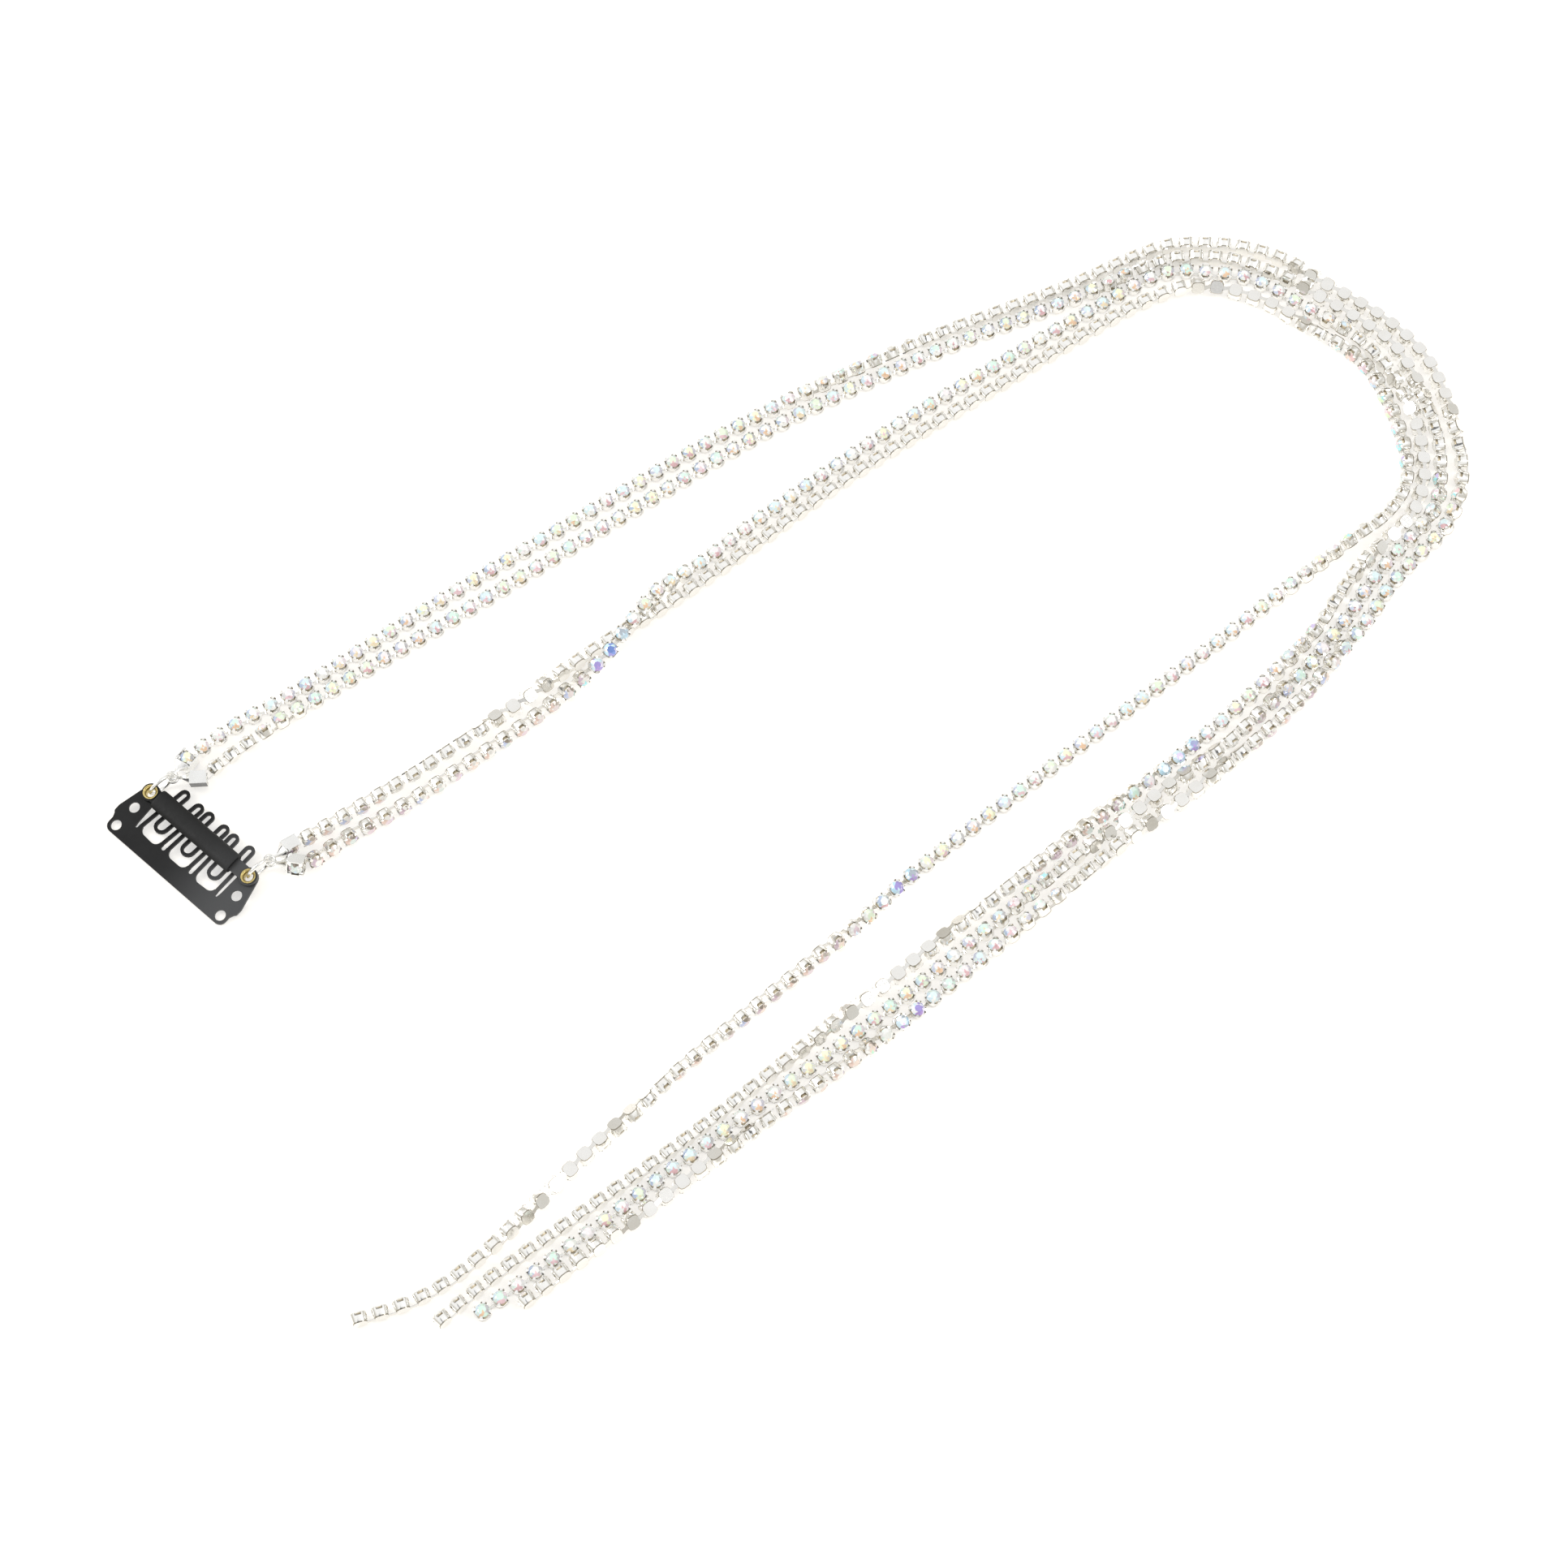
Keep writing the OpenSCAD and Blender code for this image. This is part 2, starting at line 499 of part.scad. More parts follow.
function octagon(w, c, z) =
    let (h = w/2, k = w/2 - c)
    [[h, -k, z], [h, k, z], [k, h, z], [-k, h, z], [-h, k, z], [-h, -k, z], [-k, -h, z], [k, -h, z]];

function round_octagon(d, z) = [for (i = [0:7]) [d/2*cos(45*i - 22.5), d/2*sin(45*i - 22.5), z]];

// A square cup with a claw on each corner, and the eight-sided crystal that it holds
module crystal_cup() {
    reach = crystal_diameter/2 - claw_inset;
    points = concat(octagon(cup_back_width, cup_corner, CUP_BACK), octagon(cup_width, cup_corner, CUP_RIM),
        round_octagon(crystal_diameter, CUP_RIM), round_octagon(table_diameter, CUP_TABLE),
        [for (i = [0:3]) [reach*cos(90*i + 45), reach*sin(90*i + 45), CUP_RIM + claw_height]]);
    claws = [for (i = [0:3]) let (a = 2*i + 1, b = (2*i + 2)%8)
        each [[8 + b, 8 + a, 32 + i], [8 + a, 16 + a, 32 + i], [16 + a, 16 + b, 32 + i],
            [16 + b, 8 + b, 32 + i]]];
    faces = concat([[for (i = [0:7]) i]], [[for (i = [7:-1:0]) 24 + i]],
        [for (i = [0:7]) [i, 8 + i, 8 + (i + 1)%8, (i + 1)%8]],
        [for (i = [0:2:6]) [8 + i, 16 + i, 16 + i + 1, 8 + i + 1]],
        [for (i = [0:7]) [16 + i, 24 + i, 24 + (i + 1)%8, 16 + (i + 1)%8]],
        claws);
    polyhedron(points, faces);
}

// The link that runs from a cup towards the next one
module cup_link() {
    from = cup_back_width/2 - cup_corner/2;
    to = cup_pitch - cup_width/2 - loose_gap;
    translate([from, -link_width/2, CUP_BACK]) cube([to - from, link_width, link_thickness]);
}

module cup_strand(name) {
    route = strand_route(name);
    last = cup_count(route) - 1;
    color("#e2e8f0") for (i = [0:last]) {
        s = cup_run(i);
        in_frame(route_frame(route, s), route_point(route, s)) rotate([route_roll(route, s), 0, 0]) {
            crystal_cup();
            if (i < last) cup_link();
        }
    }
}

// The plain closed body of a strand whose cups are too many to be loose pieces
module plain_strand(name) {
    route = strand_route(name);
    start = cap_reach + cup_pitch - cup_width/2 + cap_gap;
    end = cup_run(cup_count(route) - 1) + cup_width/2;
    steps = ceil((end - start)/TUBE_RING_SPACING);
    rings = [for (i = [0:steps]) let (s = start + (end - start)*i/steps, f = route_frame(route, s))
        let (p = route_point(route, s), middle = [p[X], p[Y], max(p[2], strand_diameter/2)],
             r = strand_diameter/2*(i == 0 ? TUBE_START : 1))
        for (k = [0:TUBE_SIDES - 1]) let (a = 360*k/TUBE_SIDES)
            middle + r*(f[1]*cos(a) + f[2]*sin(a))];
    faces = concat([[for (k = [0:TUBE_SIDES - 1]) k]],
        [for (i = [0:steps - 1], k = [0:TUBE_SIDES - 1])
            let (a = i*TUBE_SIDES + k, b = i*TUBE_SIDES + (k + 1)%TUBE_SIDES)
            each [[a, a + TUBE_SIDES, b], [b, a + TUBE_SIDES, b + TUBE_SIDES]]],
        [[for (k = [TUBE_SIDES - 1:-1:0]) steps*TUBE_SIDES + k]]);
    color("#dfe3ea") polyhedron(rings, faces);
}

comb_plate();
flat_bar();
grip_sleeve();
eyelet(-1);  // eyelet_left
eyelet(1);  // eyelet_right
jump_ring(-1);  // jump_ring_left
jump_ring(1);  // jump_ring_right
end_cap("strand_a");  // end_cap_a
end_cap("strand_b");  // end_cap_b
end_cap("strand_c");  // end_cap_c
end_cap("strand_d");  // end_cap_d
plain_strand("strand_a");  // strand_a
plain_strand("strand_b");  // strand_b
plain_strand("strand_c");  // strand_c
cup_strand("strand_d");  // strand_d
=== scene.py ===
"""A hair chain on a white table: a black snap comb clip with four strands of crystal cup chain."""

import json
import logging
import math
from collections.abc import Iterable, Sequence
from dataclasses import dataclass, field
from enum import Enum

import bmesh
import bpy
import numpy as np
from mathutils import Matrix, Vector

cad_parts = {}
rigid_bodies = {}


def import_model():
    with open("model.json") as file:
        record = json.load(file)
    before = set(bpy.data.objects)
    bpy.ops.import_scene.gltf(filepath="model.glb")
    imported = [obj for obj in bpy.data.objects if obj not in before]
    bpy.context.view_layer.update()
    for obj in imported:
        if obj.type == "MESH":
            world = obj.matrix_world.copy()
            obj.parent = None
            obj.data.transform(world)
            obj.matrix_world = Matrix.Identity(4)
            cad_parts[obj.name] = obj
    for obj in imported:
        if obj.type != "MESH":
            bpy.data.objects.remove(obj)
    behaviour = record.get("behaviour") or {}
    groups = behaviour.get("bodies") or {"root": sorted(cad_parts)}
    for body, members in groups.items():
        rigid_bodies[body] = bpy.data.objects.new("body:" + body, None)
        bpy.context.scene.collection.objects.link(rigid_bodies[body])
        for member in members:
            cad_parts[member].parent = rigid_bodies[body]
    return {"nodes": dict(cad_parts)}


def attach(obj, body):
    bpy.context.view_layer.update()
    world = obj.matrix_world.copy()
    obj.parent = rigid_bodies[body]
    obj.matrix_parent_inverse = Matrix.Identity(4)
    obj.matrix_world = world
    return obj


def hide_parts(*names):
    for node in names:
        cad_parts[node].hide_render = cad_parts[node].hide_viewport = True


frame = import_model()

LOG = logging.getLogger("hair_chain")
MM = 0.001
ROOT = "root"

Pair = tuple[float, float]
Point = tuple[float, float, float]
Colour = tuple[float, float, float]
Row = tuple[float, float, float, float]
# The middle of a cup or link in millimetres, with a matrix whose columns are its directions
Place = tuple[np.ndarray, np.ndarray]
Socket = bpy.types.NodeSocket

# In millimetres and degrees: the layout's middle, the clip's place and turn, the way its rings lead
CENTRING = np.array([-4.3, -5.1])
CLIP_PLACE = CENTRING + np.array([-123.6, -24.8])
CLIP_TURN = -42.0
RING_TURN = 40.0

# Where the middle of each strand runs, in millimetres and degrees. Columns: x, y, lift above lying flat,
# roll about the strand
ROWS_A: list[Row] = [
    (-110.5, 9, 0, 0), (-100.5, 15.5, 0, 0), (-71.5, 37, 0, 0), (-39, 60, 0, 0),
    (-5.5, 82.5, 0, 0), (29.5, 101.5, 0, -75), (60, 115, 0, -90), (74.5, 122.5, 0, -90),
    (83, 126, 0, -90), (91.5, 126.5, 0, -90), (99.5, 125.5, 0, -90), (107.5, 122.5, 0, -95),
    (114.5, 117.5, 0, -135), (121, 112.5, 0, -175), (127.5, 107.5, 0, -180), (133, 102, 0, -180),
    (137.5, 95, 0, -180), (140, 86.5, 0, -190), (141.5, 78, 0, -235), (142, 69.5, 0, -270),
    (140.5, 62, 0, -300), (137, 54.5, 0, -335), (131, 48, 0, -360), (125, 41, 0, -360),
    (120.5, 34, 0, -365), (115, 27, 0, -400), (106.5, 16, 0, -450), (95.5, 5, 0, -460),
    (81.5, -7, 0, -540), (66, -19, 0, -620), (43.5, -39, 0, -700), (28, -52.5, 0, -725),
    (13, -65, 0, -790), (-2.5, -77, 0, -830), (-18.5, -89.5, 0, -900), (-33.5, -101.5, 0, -960),
    (-48.5, -113.5, 0, -990),
]
ROWS_B: list[Row] = [
    (-109, 4, 0, -75), (-96, 14, 0, -5), (-66.5, 34.5, 0, 0), (-33.5, 58, 0, 0),
    (-1, 80.5, 0, 0), (32, 98.5, 0, 0), (53, 108, 0, 0), (68, 115, 0, -20),
    (79, 121, 0, -70), (87, 123, 0, -90), (95.5, 122.5, 0, -90), (103, 120, 0, -90),
    (110.5, 116, 0, -115), (117, 111, 0, -170), (124, 105.5, 0, -180), (129.5, 100.5, 0, -180),
    (133, 93.5, 0, -190), (136, 84.5, 0, -230), (137.5, 77, 0, -255), (137.5, 69.5, 0, -275),
    (136, 61, 0, -300), (131.5, 54, 0, -335), (125.5, 47.5, 0, -360), (120.5, 41, 0, -360),
    (116, 34, 0, -360), (111, 27.5, 0, -370), (105.5, 20.5, 0, -395), (94, 8.5, 0, -455),
    (85, 0.5, 0, -490), (68.5, -12.5, 0, -560), (52, -26, 0, -660), (40, -37, 0, -700),
    (21, -53.5, 0, -715), (1, -69.5, 0, -720), (-18.5, -85, 0, -720), (-38, -101, 0, -720),
    (-58, -117, 0, -720),
]
ROWS_C: list[Row] = [
    (-92.5, -21.5, 0.2, 70), (-87, -17, 0, 80), (-73.5, -8, 0, 90), (-53, 8, 0, 88),
    (-41.5, 18.5, 0.4, 58), (-37.5, 22.5, 1.6, 28), (-35, 25, 2.6, 20), (-33, 28, 3.2, 14),
    (-30, 32.5, 3.3, 8), (-27, 37, 3.2, 3), (-24.5, 40, 2.2, 0), (-21.5, 43, 0.9, 0), (-15.5, 48, 0, 0),
    (-3.5, 58.5, 0, 0), (23, 79.5, 0, 0), (50, 98.5, 0, 0), (64, 108, 0, 0),
    (78, 117, 0, 0), (85, 119.5, 0, 0), (92, 119, 0, 0), (99, 118, 0, 0),
    (105, 115, 0, 0), (110.5, 111, 0, 0), (116, 107, 0, -15), (122, 102.5, 0, -65),
    (127, 96.5, 0, -90), (131, 89, 0, -120), (133.5, 81, 0, -155), (134, 73, 0, -185),
    (133.5, 65.5, 0, -190), (130.5, 58, 0, -195), (125, 52, 0, -210), (119, 45.5, 0, -245),
    (114, 38.5, 0, -270), (109.5, 31.5, 0, -290), (104, 25, 0, -320), (98, 18.5, 0, -345),
    (86.5, 7.5, 0, -360), (74, -3.5, 0, -395), (61, -14, 0, -430), (42, -30, 0, -475),
    (22.5, -46.5, 0, -545), (8, -58.5, 0, -600), (-7.5, -71.5, 0, -630), (-22, -83.5, 0, -630),
    (-39, -96.5, 0, -630), (-55, -109, 0, -630), (-64.5, -117.5, 0, -630),
]
ROWS_D: list[Row] = [
    (-89, -13, 0, 94), (-75.5, -3.5, 0, 112), (-62.5, 6.5, 0, 128), (-54, 13.5, 0, 200),
    (-44.5, 21.5, 0, 256), (-34.5, 29.5, 0, 268), (-24, 37, 0, 270), (-7.5, 50, 0, 270),
    (15.5, 69, 0, 270), (48, 92, 0, 270), (69, 106.5, 0, 270), (79.3, 112.6, 0, 270),
    (86.3, 115.2, 0, 255), (92.8, 115.1, 0, 220), (98.5, 113.3, 0, 185), (104.5, 110.5, 0, 180),
    (109.5, 106.5, 0, 165), (115, 102.5, 0, 120), (120.5, 98.5, 0, 90), (124.5, 93.5, 0, 80),
    (127.5, 86.5, 0, 80), (129.5, 79, 0, 80), (130.5, 71.5, 0, 80), (129.5, 64.5, 0, 80),
    (125, 58, 0, 74), (118, 52.5, 0, 60), (102, 39, 0, 16), (89, 28, 0, 0), (75.5, 17, 0, 0),
    (49, -5, 0, 0), (26, -24.5, 0, -10), (14.5, -36, 0, -50), (4.5, -45, 0, -85),
    (-18, -65, 0, -95), (-28.5, -75.5, 0, -140), (-39.5, -86, 0, -185), (-50, -97.5, 0, -240),
    (-60.5, -107.5, 0, -270), (-69.5, -113.5, 0, -270), (-79.9, -117.2, 0, -270),
]


class Hand(Enum):
    """The clip's two ends, with their direction along its long edge."""

    LEFT = -1
    RIGHT = 1


class Side(Enum):
    """Where on a crystal a facet is, as the photograph shows it."""

    MIDDLE = "middle"
    LEFT = "left"
    LOWER = "lower"
    RIGHT = "right"
    UPPER = "upper"


def turned(x: float, y: float, degrees: float) -> np.ndarray:
    """The flat vector (x, y) turned about the vertical, anticlockwise from above."""
    a = math.radians(degrees)
    return np.array([x * math.cos(a) - y * math.sin(a), x * math.sin(a) + y * math.cos(a)])


def unit(v: np.ndarray) -> np.ndarray:
    """The vector at length one."""
    return v / np.linalg.norm(v)


def axes_along(along: np.ndarray, up: Sequence[float]) -> np.ndarray:
    """A matrix whose columns are the directions along, across and roughly up."""
    across = unit(np.cross(up, along))
    return np.stack([along, across, np.cross(along, across)], axis=1)


def axes_between(a: np.ndarray, b: np.ndarray) -> np.ndarray:
    """Directions that lead from one point to another, with the third one upwards."""
    return axes_along(unit(b - a), [0, 0, 1])


def rolled(axes: np.ndarray, degrees: float) -> np.ndarray:
    """The directions in a matrix's columns, turned about the first of them."""
    a = math.radians(degrees)
    return axes @ np.array([[1, 0, 0], [0, math.cos(a), -math.sin(a)], [0, math.sin(a), math.cos(a)]])


def circle(radius: float, count: int, first: float = 0.0) -> list[Pair]:
    """A circle's points, anticlockwise from the first point's angle in degrees."""
    angles = [math.radians(first + 360 * i / count) for i in range(count)]
    return [(radius * math.cos(a), radius * math.sin(a)) for a in angles]


@dataclass(frozen=True)
class CupSizes:
    """Sizes of one cup of the chain with its crystal, in millimetres.

    The slot is the opening in each wall, and its widths at foot and head are half widths. A share or
    taper multiplies a width. The tops and feet of girdle and stone are measured from the rim.
    """

    pitch: float = 4.135
    width: float = 3.1
    back_width: float = 2.8
    wall: float = 2.1
    corner: float = 0.85
    foot_bevel: float = 0.22
    foot_share: float = 0.93
    lip_share: float = 0.90
    well: float = 0.3
    claw: float = 0.4
    slot: float = 0.68
    slot_foot: float = 0.51
    slot_head: float = 0.612
    crystal: float = 2.8
    table: float = 1.5
    table_reach: float = 0.8
    crown: float = 0.6
    star_radius: float = 1.08
    star_drop: float = 0.26
    girdle_top: float = 0.02
    girdle_foot: float = 0.18
    girdle_share: float = 0.97
    stone_share: float = 0.965
    stone_top: float = 0.17
    stone_foot: float = 0.95
    stone_taper: float = 0.72
    link_width: float = 0.95
    link_sheet: float = 0.26
    link_waist: float = 0.72
    link_lap: float = 0.1
    link_lift: float = 0.04

    @property
    def back(self) -> float:
        """Height of the back plate above the cup's middle."""
        return -(self.wall + self.crown) / 2

    @property
    def rim(self) -> float:
        """Height of the wall's rim at its corners."""
        return self.back + self.wall

    @property
    def top(self) -> float:
        """Height of the crystal's table."""
        return self.rim + self.crown

    @property
    def corner_cut(self) -> float:
        """How far the middle of a rounded corner lies inside the square, along each side."""
        return self.corner * (1 - math.sqrt(0.5))

    def lying_height(self, roll: float) -> float:
        """Height of the cup's middle when it lies on the table.

        Args:
            roll: how far it is turned about the strand, in degrees.

        Returns:
            The height in millimetres.
        """
        a = math.radians(roll)
        section = [(self.back_width / 2, self.back), (self.width / 2, self.rim),
                   (self.crystal / 2, self.rim + self.claw), (self.table_reach, self.top)]
        return max(-(side * w * math.sin(a) + h * math.cos(a)) for w, h in section for side in (-1, 1))


@dataclass(frozen=True)
class ClipSizes:
    """Sizes of the snap comb clip that the scene needs, in millimetres."""

    tilt: float = 10.0
    eyelet_spacing: float = 27.9
    eyelet_height: float = 11.15
    eyelet_middle: float = 0.65
    bar_middle: float = 1.0
    bar_width: float = 3.0
    bar_sheet: float = 0.6
    ring_radius: float = 2.7
    ring_wire: float = 0.8

    def point(self, u: float, v: float, w: float) -> np.ndarray:
        """A point of the clip, placed in the layout.

        Args:
            u: along the clip's long edge.
            v: across it.
            w: above it.

        Returns:
            The point in millimetres.
        """
        t = math.radians(self.tilt)
        flat = turned(u, v * math.cos(t) - w * math.sin(t), CLIP_TURN) + CLIP_PLACE
        return np.array([flat[0], flat[1], v * math.sin(t) + w * math.cos(t)])

    def eyelet(self, hand: Hand) -> np.ndarray:
        """The middle of the eyelet at one end."""
        return self.point(hand.value * self.eyelet_spacing / 2, self.eyelet_height, self.eyelet_middle)

    def half_chord(self, z: float) -> float:
        """Half the width of a jump ring's middle circle at a height."""
        return math.sqrt(self.ring_radius**2 - (z - self.ring_radius - self.ring_wire / 2) ** 2)

    def ring_far_point(self, hand: Hand, z: float) -> np.ndarray:
        """The far side of a jump ring, where an end cap's eye hangs.

        Args:
            hand: the clip's end.
            z: the eye's height.

        Returns:
            The point in millimetres.
        """
        eyelet = self.eyelet(hand)
        way = turned(self.half_chord(eyelet[2]) + self.half_chord(z), 0, RING_TURN)
        return np.array([eyelet[0] + way[0], eyelet[1] + way[1], z])


CUP = CupSizes()
CLIP = ClipSizes()
# From an end cap's eye to the middle of the cup that it holds, and that cup's height
CAP_REACH = 5.2
HELD_HEIGHT = 2.4
ROUTE_STEPS = 8


@dataclass
class Route:
    """The way of one strand, from the eye of its end cap to its free end."""

    rows: list[Row]
    hand: Hand
    eye_height: float
    heading: float
    points: np.ndarray = field(init=False)
    run: np.ndarray = field(init=False)

    def __post_init__(self) -> None:
        """Works out the smooth route."""
        roll = self.rows[0][3]
        low = CUP.lying_height(roll)
        full = [np.array([p[0], p[1], p[2] - low, roll]) for p in (self.eye(), self.held_cup())]
        full += [np.array([x + CENTRING[0], y + CENTRING[1], lift, r]) for x, y, lift, r in self.rows]
        self.points = self.smooth(full)
        steps = np.linalg.norm(np.diff(self.points[:, :3], axis=0), axis=1)
        self.run = np.concatenate([[0.0], np.cumsum(steps)])

    def eye(self) -> np.ndarray:
        """The middle of the end cap's eye."""
        return CLIP.ring_far_point(self.hand, self.eye_height)

    def held_cup(self) -> np.ndarray:
        """The middle of the cup that the end cap holds.

        Returns:
            The point in millimetres.
        """
        eye = self.eye()
        drop = eye[2] - HELD_HEIGHT
        way = turned(math.sqrt(CAP_REACH**2 - drop**2), 0, self.heading)
        return eye + np.array([way[0], way[1], -drop])

    @staticmethod
    def smooth(rows: list[np.ndarray]) -> np.ndarray:
        """A smooth curve through all rows.

        Args:
            rows: the rows that it passes through.

        Returns:
            Its points, a row each.
        """
        last = len(rows) - 1
        out = []
        for i in range(last):
            p0, p1, p2, p3 = rows[max(i - 1, 0)], rows[i], rows[i + 1], rows[min(i + 2, last)]
            for k in range(ROUTE_STEPS):
                t = k / ROUTE_STEPS
                out.append(p1 + 0.5 * t * ((p2 - p0) + t * ((2 * p0 - 5 * p1 + 4 * p2 - p3)
                                                            + t * (3 * p1 - p0 - 3 * p2 + p3))))
        out.append(rows[last])
        return np.array(out)

    def way(self, s: float) -> np.ndarray:
        """The place at a running length, with the lift as its height."""
        x, y, z = (float(np.interp(s, self.run, self.points[:, k])) for k in range(3))
        return np.array([x, y, max(z, 0.0)])

    def roll(self, s: float) -> float:
        """The roll at a running length, in degrees."""
        return float(np.interp(s, self.run, self.points[:, 3]))

    def cup_places(self) -> list[Place]:
        """The place of each cup, from the end cap to the free end.

        Returns:
            The places.
        """
        count = int((self.run[-1] - CAP_REACH) / CUP.pitch) + 1
        places = []
        for i in range(count):
            s = CAP_REACH + i * CUP.pitch
            a, b = (0.0, CAP_REACH) if i == 0 else (s - CUP.pitch / 2, s + CUP.pitch / 2)
            axes = rolled(axes_between(self.way(a), self.way(b)), self.roll(s))
            places.append((self.way(s) + [0, 0, CUP.lying_height(self.roll(s))], axes))
        return places


def add_object(name: str, data: bpy.types.ID) -> bpy.types.Object:
    """Adds an object to the scene.

    Args:
        name: its name.
        data: its mesh, lamp or camera.

    Returns:
        The object.
    """
    thing = bpy.data.objects.new(name, data)
    bpy.context.scene.collection.objects.link(thing)
    return thing


class NodeBuilder:
    """Fills the node tree of a material, a world or a geometry group."""

    def __init__(self, tree: bpy.types.NodeTree) -> None:
        """Takes the tree and empties it."""
        self.tree = tree
        tree.nodes.clear()

    def add(self, kind: str, inputs: dict[str | int, object] | None = None,
            **settings: object) -> bpy.types.Node:
        """A new node.

        Args:
            kind: its type name.
            inputs: what each input socket takes, either a value or the output that is linked to it.
            settings: its own settings by name.

        Returns:
            The node.
        """
        node = self.tree.nodes.new(kind)
        for name, value in settings.items():
            setattr(node, name, value)
        for key, value in (inputs or {}).items():
            if isinstance(value, Socket):
                self.tree.links.new(value, node.inputs[key])
            else:
                node.inputs[key].default_value = value
        return node

    def spread(self, value: Socket, span: Pair, to: Pair, **settings: object) -> Socket:
        """The value with one span mapped to another, by a node with these settings."""
        inputs = {"Value": value, "From Min": span[0], "From Max": span[1], "To Min": to[0], "To Max": to[1]}
        return self.add("ShaderNodeMapRange", inputs, **settings).outputs["Result"]

    def mix(self, share: Socket, a: Socket | Colour, b: Colour) -> Socket:
        """A colour between two others, which takes this share of the second."""
        first = (*a, 1.0) if isinstance(a, tuple) else a
        return self.add("ShaderNodeMix", {0: share, 6: first, 7: (*b, 1.0)}, data_type="RGBA").outputs[2]

    def surface(self, inputs: dict[str | int, object]) -> None:
        """Ends a material's tree with one principled shader that takes these inputs."""
        shader = self.add("ShaderNodeBsdfPrincipled", inputs)
        self.add("ShaderNodeOutputMaterial", {"Surface": shader.outputs["BSDF"]})


def new_material(name: str) -> tuple[bpy.types.Material, NodeBuilder]:
    """An empty node material.

    Args:
        name: its name.

    Returns:
        The material and the builder of its tree.
    """
    material = bpy.data.materials.new(name)
    material.use_nodes = True
    return material, NodeBuilder(material.node_tree)


# The attribute that tells how far painted shade and painted reflection darken a part's silver to tan, from 0
# to 1 on each face
PAINTED_SHADE = "tarnish"


@dataclass(frozen=True)
class Finish:
    """A finish whose colour, roughness and relief vary with noise on object coordinates. Its colour may also
    take a painted sheen that lightens it along the clip, and a painted shade from a face attribute.
    """

    name: str
    color: Colour
    dark: Colour
    metallic: float
    roughness: Pair
    grain: float
    relief: float
    mottle: float
    specular: float = 0.5
    painted_sheen: Colour | None = None
    tarnish: Colour | None = None

    # Between which points along the clip a finish's painted sheen grows from nothing to full, and the depth
    # of all relief in metres
    SHEEN_SPAN = (-6.0, 17.0)
    RELIEF_DEPTH = 0.00005
    # How much coarser the mottling is than the grain, and the span of each noise that counts
    MOTTLE_SIZE = 9
    MOTTLE_SPAN = (0.35, 0.65)
    GRAIN_SPAN = (0.3, 0.7)

    def material(self) -> bpy.types.Material:
        """The node material.

        Returns:
            The material, made once.
        """
        if self.name in bpy.data.materials:
            return bpy.data.materials[self.name]
        material, build = new_material(self.name)
        place = build.add("ShaderNodeTexCoord").outputs["Object"]
        noise = {"Vector": place, "Scale": self.grain, "Detail": 4.0, "Roughness": 0.6}
        grain = build.add("ShaderNodeTexNoise", noise).outputs["Fac"]
        cloud = build.add("ShaderNodeTexNoise", {"Vector": place, "Scale": self.grain / self.MOTTLE_SIZE,
                                                 "Detail": 2.0})
        share = build.spread(cloud.outputs["Fac"], self.MOTTLE_SPAN, (0.0, self.mottle))
        color = build.mix(share, self.color, self.dark)
        # Painted sheen: the colour grows lighter along the clip, towards its right end
        if self.painted_sheen is not None:
            color = build.mix(self.sheen_share(build, place), color, self.painted_sheen)
        # Painted shade and painted reflection: the colour darkens to a tan as the face attribute says
        if self.tarnish is not None:
            wear_and_shade = build.add("ShaderNodeAttribute", attribute_name=PAINTED_SHADE).outputs["Fac"]
            color = build.mix(wear_and_shade, color, self.tarnish)
        bump = build.add("ShaderNodeBump", {"Strength": self.relief, "Distance": self.RELIEF_DEPTH,
                                            "Height": grain})
        build.surface({"Base Color": color, "Metallic": self.metallic, "Specular IOR Level": self.specular,
                       "Roughness": build.spread(grain, self.GRAIN_SPAN, self.roughness),
                       "Normal": bump.outputs["Normal"]})
        return material

    def sheen_share(self, build: NodeBuilder, place: Socket) -> Socket:
        """How far the painted sheen has grown, from one end of the clip to the other.

        Args:
            build: the builder of the material's tree.
            place: the object coordinates.

        Returns:
            The share.
        """
        start, end = (CLIP.point(u, 5, 0) for u in self.SHEEN_SPAN)
        way = unit(end - start)
        along = build.add("ShaderNodeVectorMath", {0: place, 1: tuple(way)}, operation="DOT_PRODUCT")
        span = (float(start @ way) * MM, float(end @ way) * MM)
        return build.spread(along.outputs["Value"], span, (0.0, 1.0), interpolation_type="SMOOTHERSTEP")


@dataclass(frozen=True)
class RainbowCrystal:
    """A crystal whose facets take their colours, painted reflections and painted shade included, from the
    piece's own attribute.
    """

    name: str = "rainbow_crystal"
    attribute: str = "facet_tint"
    roughness: float = 0.06
    metallic: float = 0.25
    coat: float = 0.5
    coat_roughness: float = 0.03

    def material(self) -> bpy.types.Material:
        """The node material.

        Returns:
            The material, made once.
        """
        if self.name in bpy.data.materials:
            return bpy.data.materials[self.name]
        material, build = new_material(self.name)
        tint = build.add("ShaderNodeAttribute", attribute_name=self.attribute)
        build.surface({"Base Color": tint.outputs["Color"], "Metallic": self.metallic,
                       "Roughness": self.roughness, "Coat Weight": self.coat,
                       "Coat Roughness": self.coat_roughness})
        return material


# The silver's tan is painted shade and painted reflection at the cups' edges, corners, recesses and links
SILVER = Finish("bright_silver_plate", (0.98, 0.975, 0.955), (0.93, 0.915, 0.875), metallic=1.0,
                roughness=(0.10, 0.24), grain=2600.0, relief=0.10, mottle=0.7, tarnish=(0.40, 0.37, 0.31))
